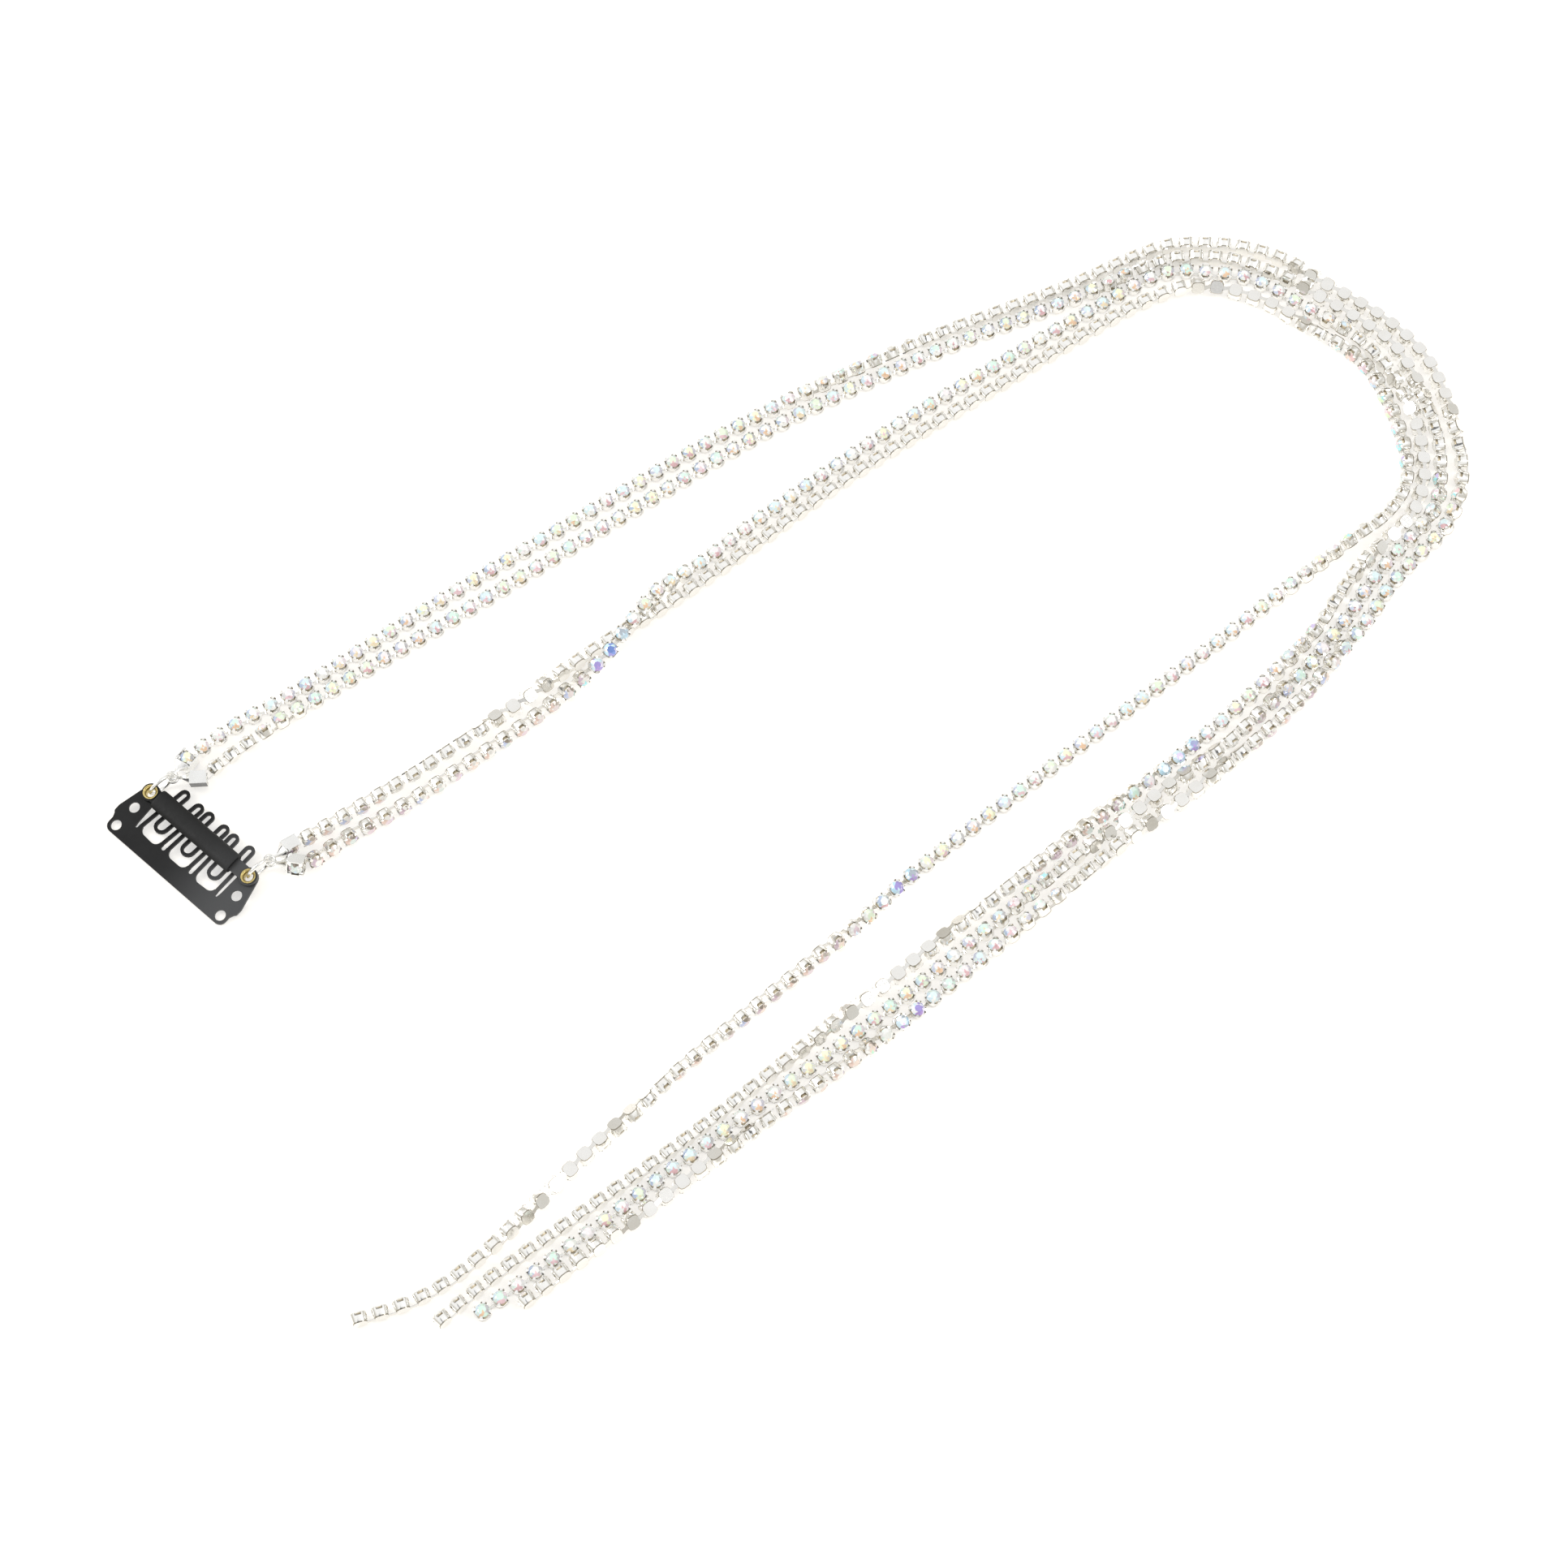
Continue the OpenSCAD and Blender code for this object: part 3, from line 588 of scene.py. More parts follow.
# A dark silver for the caps' undersides: painted shade
CAP_UNDERSIDE_SHADE = Finish("darkened_silver_back", (0.13, 0.13, 0.132), (0.075, 0.075, 0.08), metallic=1.0,
                  roughness=(0.24, 0.40), grain=1500.0, relief=0.3, mottle=0.8)
CAP_SILVER = Finish("silver_plated_sheet", (0.91, 0.91, 0.895), (0.83, 0.825, 0.80), metallic=1.0,
                    roughness=(0.18, 0.32), grain=1900.0, relief=0.2, mottle=0.7)
FOIL = Finish("golden_stone_back", (0.72, 0.63, 0.46), (0.46, 0.38, 0.25), metallic=0.3,
              roughness=(0.25, 0.45), grain=1800.0, relief=0.2, mottle=0.8)
# The enamel and the rubber grow lighter towards the clip's right end: a painted sheen
ENAMEL = Finish("satin_black_enamel", (0.0045, 0.0045, 0.0048), (0.010, 0.0102, 0.0105), metallic=0.0,
                roughness=(0.30, 0.44), grain=900.0, relief=0.2, mottle=0.5, specular=0.22,
                painted_sheen=(0.060, 0.061, 0.063))
RUBBER = Finish("black_rubber", (0.006, 0.0062, 0.0062), (0.011, 0.0112, 0.0112), metallic=0.0,
                roughness=(0.46, 0.62), grain=1500.0, relief=0.5, mottle=0.6, specular=0.25,
                painted_sheen=(0.024, 0.0245, 0.0255))
BRASS = Finish("dull_brass", (0.66, 0.55, 0.24), (0.45, 0.34, 0.12), metallic=1.0,
               roughness=(0.22, 0.40), grain=2200.0, relief=0.25, mottle=0.6)
CRYSTAL = RainbowCrystal()


class Shell:
    """A mesh in the making. Its points are in millimetres."""

    def __init__(self) -> None:
        """Starts without points."""
        self.points: list[Sequence[float]] = []
        self.faces: list[Sequence[int]] = []

    def ring(self, points: Iterable[Sequence[float]]) -> range:
        """Adds points.

        Args:
            points: their places in millimetres.

        Returns:
            Their numbers.
        """
        start = len(self.points)
        self.points.extend(points)
        return range(start, len(self.points))

    def tube(self, sections: list[list[Sequence[float]]], around: bool = False) -> None:
        """Adds a tube through sections that have the same number of points.

        Args:
            sections: the points of each section.
            around: whether it runs back to the first section, in place of closed ends.
        """
        rings = [self.ring(section) for section in sections]
        if not around:
            self.faces.append(rings[0][::-1])
        for a, b in zip(rings, rings[1:] + (rings[:1] if around else [])):
            n = len(a)
            self.faces.extend((a[i], a[(i + 1) % n], b[(i + 1) % n], b[i]) for i in range(n))
        if not around:
            self.faces.append(rings[-1])

    def move(self, middle: np.ndarray, axes: np.ndarray) -> None:
        """Places all points so far by a middle and directions."""
        self.points = [middle + axes @ np.array(p) for p in self.points]

    def mesh(self, name: str) -> bpy.types.Mesh:
        """The mesh, in metres.

        Args:
            name: its name.

        Returns:
            The mesh.
        """
        mesh = bpy.data.meshes.new(name)
        mesh.from_pydata([(x * MM, y * MM, z * MM) for x, y, z in self.points], [],
                         [tuple(face) for face in self.faces])
        mesh.validate()
        mesh.update()
        return mesh


def wire_ring(radius: float, wire: float, around: int, across: int) -> list[list[Point]]:
    """The sections of a flat ring of round wire, in the plane of the first two directions."""
    section = circle(wire / 2, across)
    return [[((radius + r) * x, (radius + r) * y, z) for r, z in section] for x, y in circle(1.0, around)]


def set_painted_shade(mesh: bpy.types.Mesh, values: list[float]) -> bpy.types.Mesh:
    """Writes the painted shade of every face to a mesh, and returns the mesh."""
    mesh.attributes.new(PAINTED_SHADE, "FLOAT", "FACE").data.foreach_set("value", values)
    return mesh


@dataclass(frozen=True)
class CupParts:
    """Builds the one cup, link, crystal and crystal back that all strands repeat, and the painted shade on
    the faces of cup and link.
    """

    sizes: CupSizes
    # How much painted shade each kind of face takes: painted reflections give the dark outline at the foot
    # bevel and the corners, and painted shade darkens the back, the bowl inside, the claws and the links
    plate_painted_shade: float = 0.16
    bevel_painted_shade: float = 1.0
    corner_painted_shade: float = 0.05
    inner_painted_shade: float = 0.14
    claw_painted_shade: float = 0.04
    link_painted_shade: float = 0.28

    # A claw's bent strip. Columns: out from the corner, half width, height above the rim
    CLAW = ((0.01, 0.42, -0.1), (-0.06, 0.36, 0.12), (-0.60, 0.16, 0.25), (-0.58, 0.20, 0.18),
            (-0.2, 0.38, 0.02))

    def columns(self) -> list[tuple[Pair, Pair, float]]:
        """The upright columns of the wall that faces along +X, from the middle of a corner.

        Returns:
            The plan of each foot, the plan of its top, and the height of its top.
        """
        s = self.sizes
        foot, head, c, cut = s.back_width / 2, s.width / 2, s.corner, s.corner_cut
        return [
            ((foot - cut, cut - foot), (head - cut, cut - head), s.rim),
            ((foot, c - foot), (head, c - head), s.rim),
            ((foot, -s.slot_foot), (head, -s.slot_head), s.rim - s.slot),
            ((foot, s.slot_foot), (head, s.slot_head), s.rim - s.slot),
            ((foot, foot - c), (head, head - c), s.rim),
        ]

    def wall(self, shell: Shell) -> None:
        """Adds the cup's floor and its walls, each with a slot at its rim.

        Args:
            shell: the cup so far.
        """
        s = self.sizes
        plan = [(turned(*foot, 90 * side), turned(*head, 90 * side), top)
                for side in range(4) for foot, head, top in self.columns()]
        shell.tube([[(*(foot * s.foot_share), s.back) for foot, _, _ in plan],
                    [(*foot, s.back + s.foot_bevel) for foot, _, _ in plan],
                    [(*head, top) for _, head, top in plan],
                    [(*(head * s.lip_share), min(top, s.rim - s.well)) for _, head, top in plan]])

    def claw(self, corner: int, shell: Shell) -> None:
        """Adds one claw, which folds from its corner over the crystal's edge.

        Args:
            corner: its number.
            shell: the cup so far.
        """
        s = self.sizes
        far = math.sqrt(2) * (s.width / 2 - s.corner_cut)
        shell.tube([[(*turned(far + out, way * half, 90 * corner + 45), s.rim + up)
                     for out, half, up in self.CLAW] for way in (1, -1)])

    def cup(self) -> bpy.types.Mesh:
        """The square cup with slotted walls and a folded claw on each corner, with a painted shade on each
        face.

        Returns:
            The mesh.
        """
        shell = Shell()
        self.wall(shell)
        walls = len(shell.faces)
        for corner in range(4):
            self.claw(corner, shell)
        per_side = len(self.columns())
        columns = 4 * per_side
        # Painted shade on every face: the back plate, the foot bevel, the corners of the walls, the lip and
        # floor of the bowl inside, and the claws
        tarnish = [self.plate_painted_shade] + [self.bevel_painted_shade] * columns
        tarnish += [self.corner_painted_shade if i % per_side in (0, per_side - 1) else 0.0 for i in range(columns)]
        tarnish += [self.inner_painted_shade] * (columns + 1) + [self.claw_painted_shade] * (len(shell.faces) - walls)
        return set_painted_shade(shell.mesh("cup"), tarnish)

    def link(self) -> bpy.types.Mesh:
        """The flat link between two cups, one millimetre long, waisted at its middle, evenly darkened by a
        painted shade.

        Returns:
            The mesh, centred, with its outer face at height 0.
        """
        w, t, waist = self.sizes.link_width / 2, self.sizes.link_sheet, self.sizes.link_waist
        shell = Shell()
        shell.tube([[(x, side * w * share, z) for side, z in ((-1, 0.0), (1, 0.0), (1, t), (-1, t))]
                    for x, share in ((-0.5, 1.0), (0.0, waist), (0.5, 1.0))])
        # The links take an even painted shade
        return set_painted_shade(shell.mesh("link"), [self.link_painted_shade] * len(shell.faces))

    def crystal(self) -> bpy.types.Mesh:
        """The crystal's crown: a table of eight fields, stars, kites and the facets at the girdle.

        Returns:
            The mesh, with its faces in that order.
        """
        s, shell = self.sizes, Shell()
        rim = circle(s.crystal / 2, 16)
        table = shell.ring((x, y, s.top) for x, y in circle(s.table / 2, 8))
        star = shell.ring((x, y, s.top - s.star_drop) for x, y in circle(s.star_radius, 8, 22.5))
        girdle = shell.ring((x, y, s.rim + s.girdle_top) for x, y in rim)
        base = shell.ring((x * s.girdle_share, y * s.girdle_share, s.rim - s.girdle_foot) for x, y in rim)
        middle = shell.ring([(0.0, 0.0, s.top)])[0]
        eight = [(i, (i + 1) % 8) for i in range(8)]
        shell.faces += [(middle, table[i], table[j]) for i, j in eight]
        shell.faces += [(table[i], star[i], table[j]) for i, j in eight]
        shell.faces += [(table[i], star[i - 1], girdle[2 * i], star[i]) for i in range(8)]
        for i, j in eight:
            shell.faces += [(star[i], girdle[2 * i], girdle[2 * i + 1]),
                            (star[i], girdle[2 * i + 1], girdle[2 * j])]
        shell.faces += [(girdle[i - 1], base[i - 1], base[i], girdle[i]) for i in (*range(1, 16), 0)]
        return shell.mesh("crystal")

    def back(self) -> bpy.types.Mesh:
        """The crystal's tapered, golden back, which shows through the slots of the cup.

        Returns:
            The mesh.
        """
        s, shell = self.sizes, Shell()
        rim = circle(s.stone_share * s.crystal / 2, 16)
        shell.tube([[(x * s.stone_taper, y * s.stone_taper, s.rim - s.stone_foot) for x, y in rim],
                    [(x, y, s.rim - s.stone_top) for x, y in rim]])
        return shell.mesh("crystal_back")


class Repeater:
    """A Geometry Nodes tree that sets one part on every point of a mesh."""

    TURN = "turn"
    STRETCH = "stretch"
    INPUTS = (("Points", "Geometry"), ("Part", "Object"), ("Size", "Float"), ("Finish", "Material"))

    def __init__(self) -> None:
        """Builds the tree."""
        self.tree = bpy.data.node_groups.new("set_part_on_points", "GeometryNodeTree")
        sockets = self.tree.interface
        self.ids = {name: sockets.new_socket(name, in_out="INPUT", socket_type="NodeSocket" + kind).identifier
                    for name, kind in self.INPUTS}
        sockets.new_socket("Parts", in_out="OUTPUT", socket_type="NodeSocketGeometry")
        build = NodeBuilder(self.tree)
        start = build.add("NodeGroupInput").outputs
        euler, stretch = (build.add("GeometryNodeInputNamedAttribute", {"Name": name},
                                    data_type="FLOAT_VECTOR").outputs["Attribute"]
                          for name in (self.TURN, self.STRETCH))
        part = build.add("GeometryNodeObjectInfo", {"Object": start["Part"]})
        turn = build.add("FunctionNodeEulerToRotation", {"Euler": euler})
        scale = build.add("ShaderNodeVectorMath", {"Vector": stretch, "Scale": start["Size"]},
                          operation="SCALE")
        place = build.add("GeometryNodeInstanceOnPoints", {
            "Points": start["Points"], "Instance": part.outputs["Geometry"],
            "Rotation": turn.outputs["Rotation"], "Scale": scale.outputs["Vector"]})
        real = build.add("GeometryNodeRealizeInstances", {"Geometry": place.outputs["Instances"]})
        dress = build.add("GeometryNodeSetMaterial", {"Geometry": real.outputs["Geometry"],
                                                      "Material": start["Finish"]})
        build.add("NodeGroupOutput", {"Parts": dress.outputs["Geometry"]})

    def lay(self, name: str, part: bpy.types.Mesh, finish: bpy.types.Material, places: list[Place],
            lengths: list[float] | None = None) -> bpy.types.Object:
        """One plain mesh object with the part at every place.

        Args:
            name: the object's name.
            part: the mesh that is repeated.
            finish: its material.
            places: where the parts go.
            lengths: how far each is stretched along its first direction, if at all.

        Returns:
            The object, at the origin.
        """
        points = bpy.data.meshes.new(name + "_points")
        points.from_pydata([tuple(p * MM) for p, _ in places], [], [])
        turn = points.attributes.new(self.TURN, "FLOAT_VECTOR", "POINT")
        stretch = points.attributes.new(self.STRETCH, "FLOAT_VECTOR", "POINT")
        for i, (_, axes) in enumerate(places):
            turn.data[i].vector = Matrix(axes.tolist()).to_euler("XYZ")
            stretch.data[i].vector = (lengths[i] if lengths else 1.0, 1.0, 1.0)
        source, holder = add_object(name + "_part", part), add_object(name, points)
        modifier = holder.modifiers.new("parts", "NODES")
        modifier.node_group = self.tree
        modifier[self.ids["Part"]] = source
        modifier[self.ids["Size"]] = 1.0
        modifier[self.ids["Finish"]] = finish
        graph = bpy.context.evaluated_depsgraph_get()
        mesh = bpy.data.meshes.new_from_object(holder.evaluated_get(graph), depsgraph=graph)
        for thing in (holder, source):
            bpy.data.objects.remove(thing)
        mesh.name = name
        return add_object(name, mesh)


@dataclass(frozen=True)
class FacetColours:
    """The colours that a rainbow-coated crystal shows on each side, and at its girdle, seen from one
    direction: the coating's colours with painted reflections and painted shade.
    """

    middle: tuple[Colour, ...]
    left: tuple[Colour, ...]
    lower: tuple[Colour, ...]
    right: tuple[Colour, ...]
    upper: tuple[Colour, ...]
    edge: tuple[Colour, ...] = ((0.86, 0.83, 0.76), (0.70, 0.67, 0.60), (0.93, 0.91, 0.87))
    milky: float = 0.0


# The palettes hold the coating's colours with painted reflections, each for a crystal seen from the blue
# direction
FACE_UP = FacetColours(
    middle=((0.95, 0.98, 0.62), (0.66, 0.95, 0.80), (0.93, 0.95, 0.90), (0.80, 0.95, 0.68),
            (0.70, 0.90, 0.94), (0.93, 0.86, 0.88), (0.97, 0.97, 0.93)),
    left=((0.34, 0.46, 0.70), (0.52, 0.58, 0.78), (0.60, 0.80, 0.94), (0.68, 0.68, 0.70),
          (0.84, 0.84, 0.82)),
    lower=((0.86, 0.50, 0.24), (0.84, 0.50, 0.56), (0.72, 0.34, 0.38), (0.92, 0.72, 0.42),
           (0.97, 0.95, 0.90)),
    right=((0.60, 0.58, 0.70), (0.50, 0.49, 0.52), (0.84, 0.70, 0.78), (0.87, 0.88, 0.88)),
    upper=((0.82, 0.86, 0.83), (0.95, 0.95, 0.93), (0.70, 0.87, 0.79)),
    milky=0.25,
)
FACING = FacetColours(
    middle=((0.24, 0.36, 0.80), (0.20, 0.42, 0.82)),
    left=((0.50, 0.78, 0.97), (0.62, 0.86, 1.0)),
    lower=((0.42, 0.40, 0.86), (0.62, 0.84, 1.0)),
    right=((0.48, 0.74, 0.98), (0.76, 0.72, 0.95)),
    upper=((0.70, 0.92, 0.98), (1.0, 1.0, 1.0)),
)
TURNING = FacetColours(
    middle=((0.40, 0.33, 0.72), (0.44, 0.50, 0.56), (0.40, 0.44, 0.68)),
    left=((0.55, 0.80, 0.95), (0.72, 0.88, 0.97)),
    lower=((0.52, 0.36, 0.76), (0.66, 0.84, 0.95)),
    right=((0.56, 0.78, 0.94), (0.80, 0.76, 0.92)),
    upper=((0.74, 0.90, 0.94), (0.97, 0.97, 0.97)),
)
LEANING = FacetColours(
    middle=((0.86, 0.72, 0.63), (0.74, 0.66, 0.66), (0.94, 0.92, 0.88), (0.80, 0.66, 0.72),
            (0.72, 0.80, 0.76)),
    left=((0.84, 0.64, 0.56), (0.58, 0.64, 0.86), (0.95, 0.95, 0.93), (0.66, 0.52, 0.60)),
    lower=((0.46, 0.93, 0.97), (0.52, 0.93, 0.68), (0.76, 0.95, 0.62), (0.62, 0.78, 0.97)),
    right=((0.52, 0.90, 0.94), (0.68, 0.58, 0.86), (0.93, 0.66, 0.66), (0.95, 0.95, 0.95)),
    # upper: a dark brown painted shade at the crystal's far edge
    upper=((0.34, 0.29, 0.24), (0.55, 0.49, 0.43), (0.88, 0.86, 0.82)),
)
PALE = FacetColours(
    middle=((0.90, 0.88, 0.83), (0.84, 0.82, 0.77)),
    left=((0.86, 0.86, 0.84), (0.93, 0.92, 0.88)),
    lower=((0.92, 0.91, 0.87), (0.84, 0.90, 0.88), (0.88, 0.84, 0.78)),
    right=((0.80, 0.78, 0.73), (0.92, 0.92, 0.90)),
    upper=((0.93, 0.92, 0.89), (0.84, 0.82, 0.77)),
)
# The direction from which the coating looks blue, for which the facets' painted reflections and shade are
# painted, and the photograph's upward direction
BLUE_DIRECTION = np.array([0.0, -0.454, 0.891])
PICTURE_UP = Vector((0.0, 0.891, 0.454))
# The colour to which the light inside a crystal pales its facets
MILK = np.array([0.96, 0.95, 0.92])
# A crystal's first facets are its table's, and those from the second number on its girdle's
TABLE_FACETS = 8
CROWN_FACETS = 40
# The colour of a crown facet. Columns: up to which angle from the right, side, how often
SECTORS = ((50, Side.RIGHT, 0.7), (130, Side.UPPER, 0.7), (245, Side.LEFT, 0.75), (315, Side.LOWER, 0.65),
           (360, Side.RIGHT, 0.7))


class CoatingSheenAndShade:
    """The rainbow coating of one strand's crystals, with a colour for every facet that holds painted
    reflections and painted shade for the view from the blue direction.
    """

    # How squarely a table faces the blue direction to look blue, half blue or not yet pale
    BLUE, HALF_BLUE, LEANT = 0.972, 0.935, 0.12
    # How far upwards a table points to look mixed
    UPWARD = 0.62
    # The angles between which a table's facet often takes the lower side's colour, and how often
    LOWER_TABLE = (262, 308)
    LOWER_TABLE_CHANCE = 0.8
    # The least brightness of a facet, and how much chance adds to it
    SHADE = (0.90, 0.10)

    def __init__(self, seed: int) -> None:
        """Takes the seed of its random choices."""
        self.random = np.random.default_rng(seed)

    def palette(self, normal: np.ndarray) -> FacetColours:
        """The colours of a crystal, with their painted reflections and shade, which depend on how its table
        faces the blue direction.

        Args:
            normal: the direction that the table faces.

        Returns:
            The colours.
        """
        facing = float(normal @ BLUE_DIRECTION)
        if facing > self.BLUE:
            return FACING
        if facing > self.HALF_BLUE:
            return TURNING
        if normal[2] > self.UPWARD:
            return FACE_UP
        return LEANING if facing > self.LEANT else PALE

    def facet(self, k: int, angle: float, colours: FacetColours, picks: dict[Side, Colour]) -> Colour:
        """The colour of one facet.

        Args:
            k: the facet's number.
            angle: where it lies round the crystal as the photograph shows it, in degrees from the right.
            colours: the crystal's colours.
            picks: the colour that this crystal has on each side.

        Returns:
            The colour.
        """
        if k >= CROWN_FACETS:
            return colours.edge[self.random.integers(len(colours.edge))]
        chance = self.random.random()
        if k < TABLE_FACETS:
            first, last = self.LOWER_TABLE
            lower = first < angle < last and chance < self.LOWER_TABLE_CHANCE
            return picks[Side.LOWER if lower else Side.MIDDLE]
        side, often = next((side, often) for limit, side, often in SECTORS if angle <= limit)
        if chance < often:
            return picks[side]
        return colours.upper[-1] if side is Side.LEFT else picks[Side.MIDDLE]

    def tint(self, piece: bpy.types.Object, cups: list[Place]) -> None:
        """Gives every facet of every crystal its colour, with painted reflections and painted shade.

        Args:
            piece: the crystals of this strand.
            cups: where they are.
        """
        mesh = piece.data
        per = len(mesh.polygons) // len(cups)
        layer = mesh.color_attributes.new(CRYSTAL.attribute, "FLOAT_COLOR", "CORNER")
        values = np.ones((len(mesh.loops), 4), dtype=np.float32)
        for c, (_, axes) in enumerate(cups):
            colours = self.palette(axes[:, 2])
            picks = {}
            for side in Side:
                choice = getattr(colours, side.value)
                picks[side] = choice[self.random.integers(len(choice))]
            faces = [mesh.polygons[c * per + f] for f in range(per)]
            centre = sum((f.center for f in faces[:TABLE_FACETS]), Vector()) / TABLE_FACETS
            for k, face in enumerate(faces):
                out = face.center - centre
                angle = math.degrees(math.atan2(out.dot(PICTURE_UP), out.x)) % 360
                shade = self.SHADE[0] + self.SHADE[1] * self.random.random()
                color = np.array(self.facet(k, angle, colours, picks))
                mixed = (1 - colours.milky) * color + colours.milky * MILK
                values[face.loop_start:face.loop_start + face.loop_total, :3] = mixed * shade
        layer.data.foreach_set("color", values.ravel())


@dataclass(frozen=True)
class Strand:
    """One strand of cup chain, laid along its route."""

    letter: str
    route: Route
    seed: int
    sharp: float = 50.0

    @staticmethod
    def links(cups: list[Place]) -> tuple[list[Place], list[float]]:
        """Where the links between the cups go.

        Args:
            cups: the place of each cup.

        Returns:
            The place and the length of each link.
        """
        places, lengths = [], []
        reach, height = CUP.back_width / 2 - CUP.link_lap, CUP.back + CUP.link_lift
        for (p, a), (q, b) in zip(cups, cups[1:]):
            start = p + a[:, 0] * reach + a[:, 2] * height
            end = q - b[:, 0] * reach + b[:, 2] * height
            places.append(((start + end) / 2, axes_along(unit(end - start), unit(a[:, 2] + b[:, 2]))))
            lengths.append(float(np.linalg.norm(end - start)))
        return places, lengths

    def build(self, parts: CupParts, repeater: Repeater) -> list[bpy.types.Object]:
        """Makes the strand's pieces.

        Args:
            parts: the parts that are repeated.
            repeater: the tree that repeats them.

        Returns:
            The cups, links, crystals and crystal backs.
        """
        name = "strand_" + self.letter
        cups = self.route.cup_places()
        metal = repeater.lay(name + "_cups", parts.cup(), SILVER.material(), cups)
        links = repeater.lay(name + "_links", parts.link(), SILVER.material(), *self.links(cups))
        stones = repeater.lay(name + "_crystals", parts.crystal(), CRYSTAL.material(), cups)
        backs = repeater.lay(name + "_crystal_backs", parts.back(), FOIL.material(), cups)
        for face in metal.data.polygons:
            face.use_smooth = True
        metal.data.set_sharp_from_angle(angle=math.radians(self.sharp))
        CoatingSheenAndShade(self.seed).tint(stones, cups)
        pieces = [metal, links, stones, backs]
        for piece, slot in zip(pieces, ("cup_chain", "cup_chain", "crystal", "brass")):
            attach(piece, ROOT)
        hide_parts(name)
        LOG.info("%s: %d cups", name, len(cups))
        return pieces


def add_piece(name: str, shell: Shell, finish: Finish, node: str,
              sharp: float) -> bpy.types.Object:
    """Adds a piece that takes the place of a node.

    Args:
        name: the piece's name.
        shell: its shape.
        finish: its finish.
        node: the node that it takes the place of.
        sharp: the angle in degrees from which its edges stay sharp.

    Returns:
        The piece.
    """
    mesh = shell.mesh(name)
    tidy = bmesh.new()
    tidy.from_mesh(mesh)
    bmesh.ops.recalc_face_normals(tidy, faces=tidy.faces)
    tidy.to_mesh(mesh)
    tidy.free()
    for face in mesh.polygons:
        face.use_smooth = True
    mesh.set_sharp_from_angle(angle=math.radians(sharp))
    mesh.materials.append(finish.material())
    piece = add_object(name, mesh)
    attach(piece, ROOT)
    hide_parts(node)
    LOG.info("%s", name)
    return piece


@dataclass(frozen=True)
class GripSleeve:
    """The rubber sleeve on the clip's bar: a soft, flattened tube with open, rounded ends."""

    start: float = -11.9
    end: float = 9.8
    width: float = 4.4
    thickness: float = 2.3
    bore_gap: float = 0.1
    end_rounding: float = 0.035
    end_length: float = 0.10
    slack: float = 0.985
    wave: float = 0.012
    waves: float = 3.0
    side_power: float = 0.72
    face_power: float = 0.85
    around: int = 40
    steps: int = 72

    def section(self, wide: float, thick: float) -> list[Pair]:
        """A flattened round section.

        Args:
            wide: its width.
            thick: its thickness.

        Returns:
            Its points.
        """
        return [(wide / 2 * math.copysign(abs(c) ** self.side_power, c),
                 thick / 2 * math.copysign(abs(s) ** self.face_power, s))
                for c, s in circle(1.0, self.around)]

    def build(self) -> bpy.types.Object:
        """Makes the sleeve.

        Returns:
            The piece.
        """
        outer = self.section(self.width, self.thickness)
        inner = self.section(CLIP.bar_width + self.bore_gap, CLIP.bar_sheet + self.bore_gap)
        length = self.end - self.start
        sections = []
        for i in range(self.steps + 1):
            t = i / self.steps
            grow = 1 - self.end_rounding * math.exp(-min(t, 1 - t) * length / self.end_length)
            lump = self.slack + self.wave * math.sin(2 * math.pi * self.waves * t)
            flat = (2 - lump) * self.slack
            sections.append([CLIP.point(self.start + length * t, CLIP.eyelet_height + a * grow * lump,
                                        CLIP.bar_middle + b * grow * flat) for a, b in outer])
        for u in (self.end, self.start):
            sections.append([CLIP.point(u, CLIP.eyelet_height + a, CLIP.bar_middle + b) for a, b in inner])
        shell = Shell()
        shell.tube(sections, around=True)
        return add_piece("rubber_sleeve", shell, RUBBER, "grip_sleeve", 50.0)


@dataclass(frozen=True)
class Eyelet:
    """A hollow rivet with rolled flanges, which joins the bar and the plate."""

    hand: Hand
    notches: int = 7
    notch: float = 0.035
    around: int = 56

    # Radius and height of the profile, from the bore's foot round the upper flange to the lower one
    PROFILE = ((0.96, -0.26), (0.955, 0.2), (0.955, 0.75), (0.97, 1.15), (1.06, 1.36), (1.19, 1.52),
               (1.34, 1.625), (1.46, 1.625), (1.54, 1.55), (1.545, 1.44), (1.46, 1.375), (1.22, 1.365),
               (1.17, 1.30), (1.16, 0.6), (1.16, 0.0), (1.22, -0.07), (1.44, -0.08), (1.53, -0.15),
               (1.53, -0.26), (1.42, -0.335), (1.16, -0.34))
    # Which points of the profile are on the upper flange's worn rim
    RIM = range(5, 10)

    def build(self) -> bpy.types.Object:
        """Makes the eyelet.

        Returns:
            The piece.
        """
        middle = self.hand.value * CLIP.eyelet_spacing / 2
        sections = []
        for i in range(self.around):
            a = 2 * math.pi * i / self.around
            wear_and_shade = self.notch * max(0.0, math.cos(self.notches * a + self.hand.value)) ** 6
            section = [(r - wear_and_shade, w - wear_and_shade) if k in self.RIM else (r, w)
                       for k, (r, w) in enumerate(self.PROFILE)]
            sections.append([CLIP.point(middle + r * math.cos(a), CLIP.eyelet_height + r * math.sin(a), w)
                             for r, w in section])
        shell = Shell()
        shell.tube(sections, around=True)
        end = self.hand.name.lower()
        return add_piece("rolled_eyelet_" + end, shell, BRASS, "eyelet_" + end, 35.0)


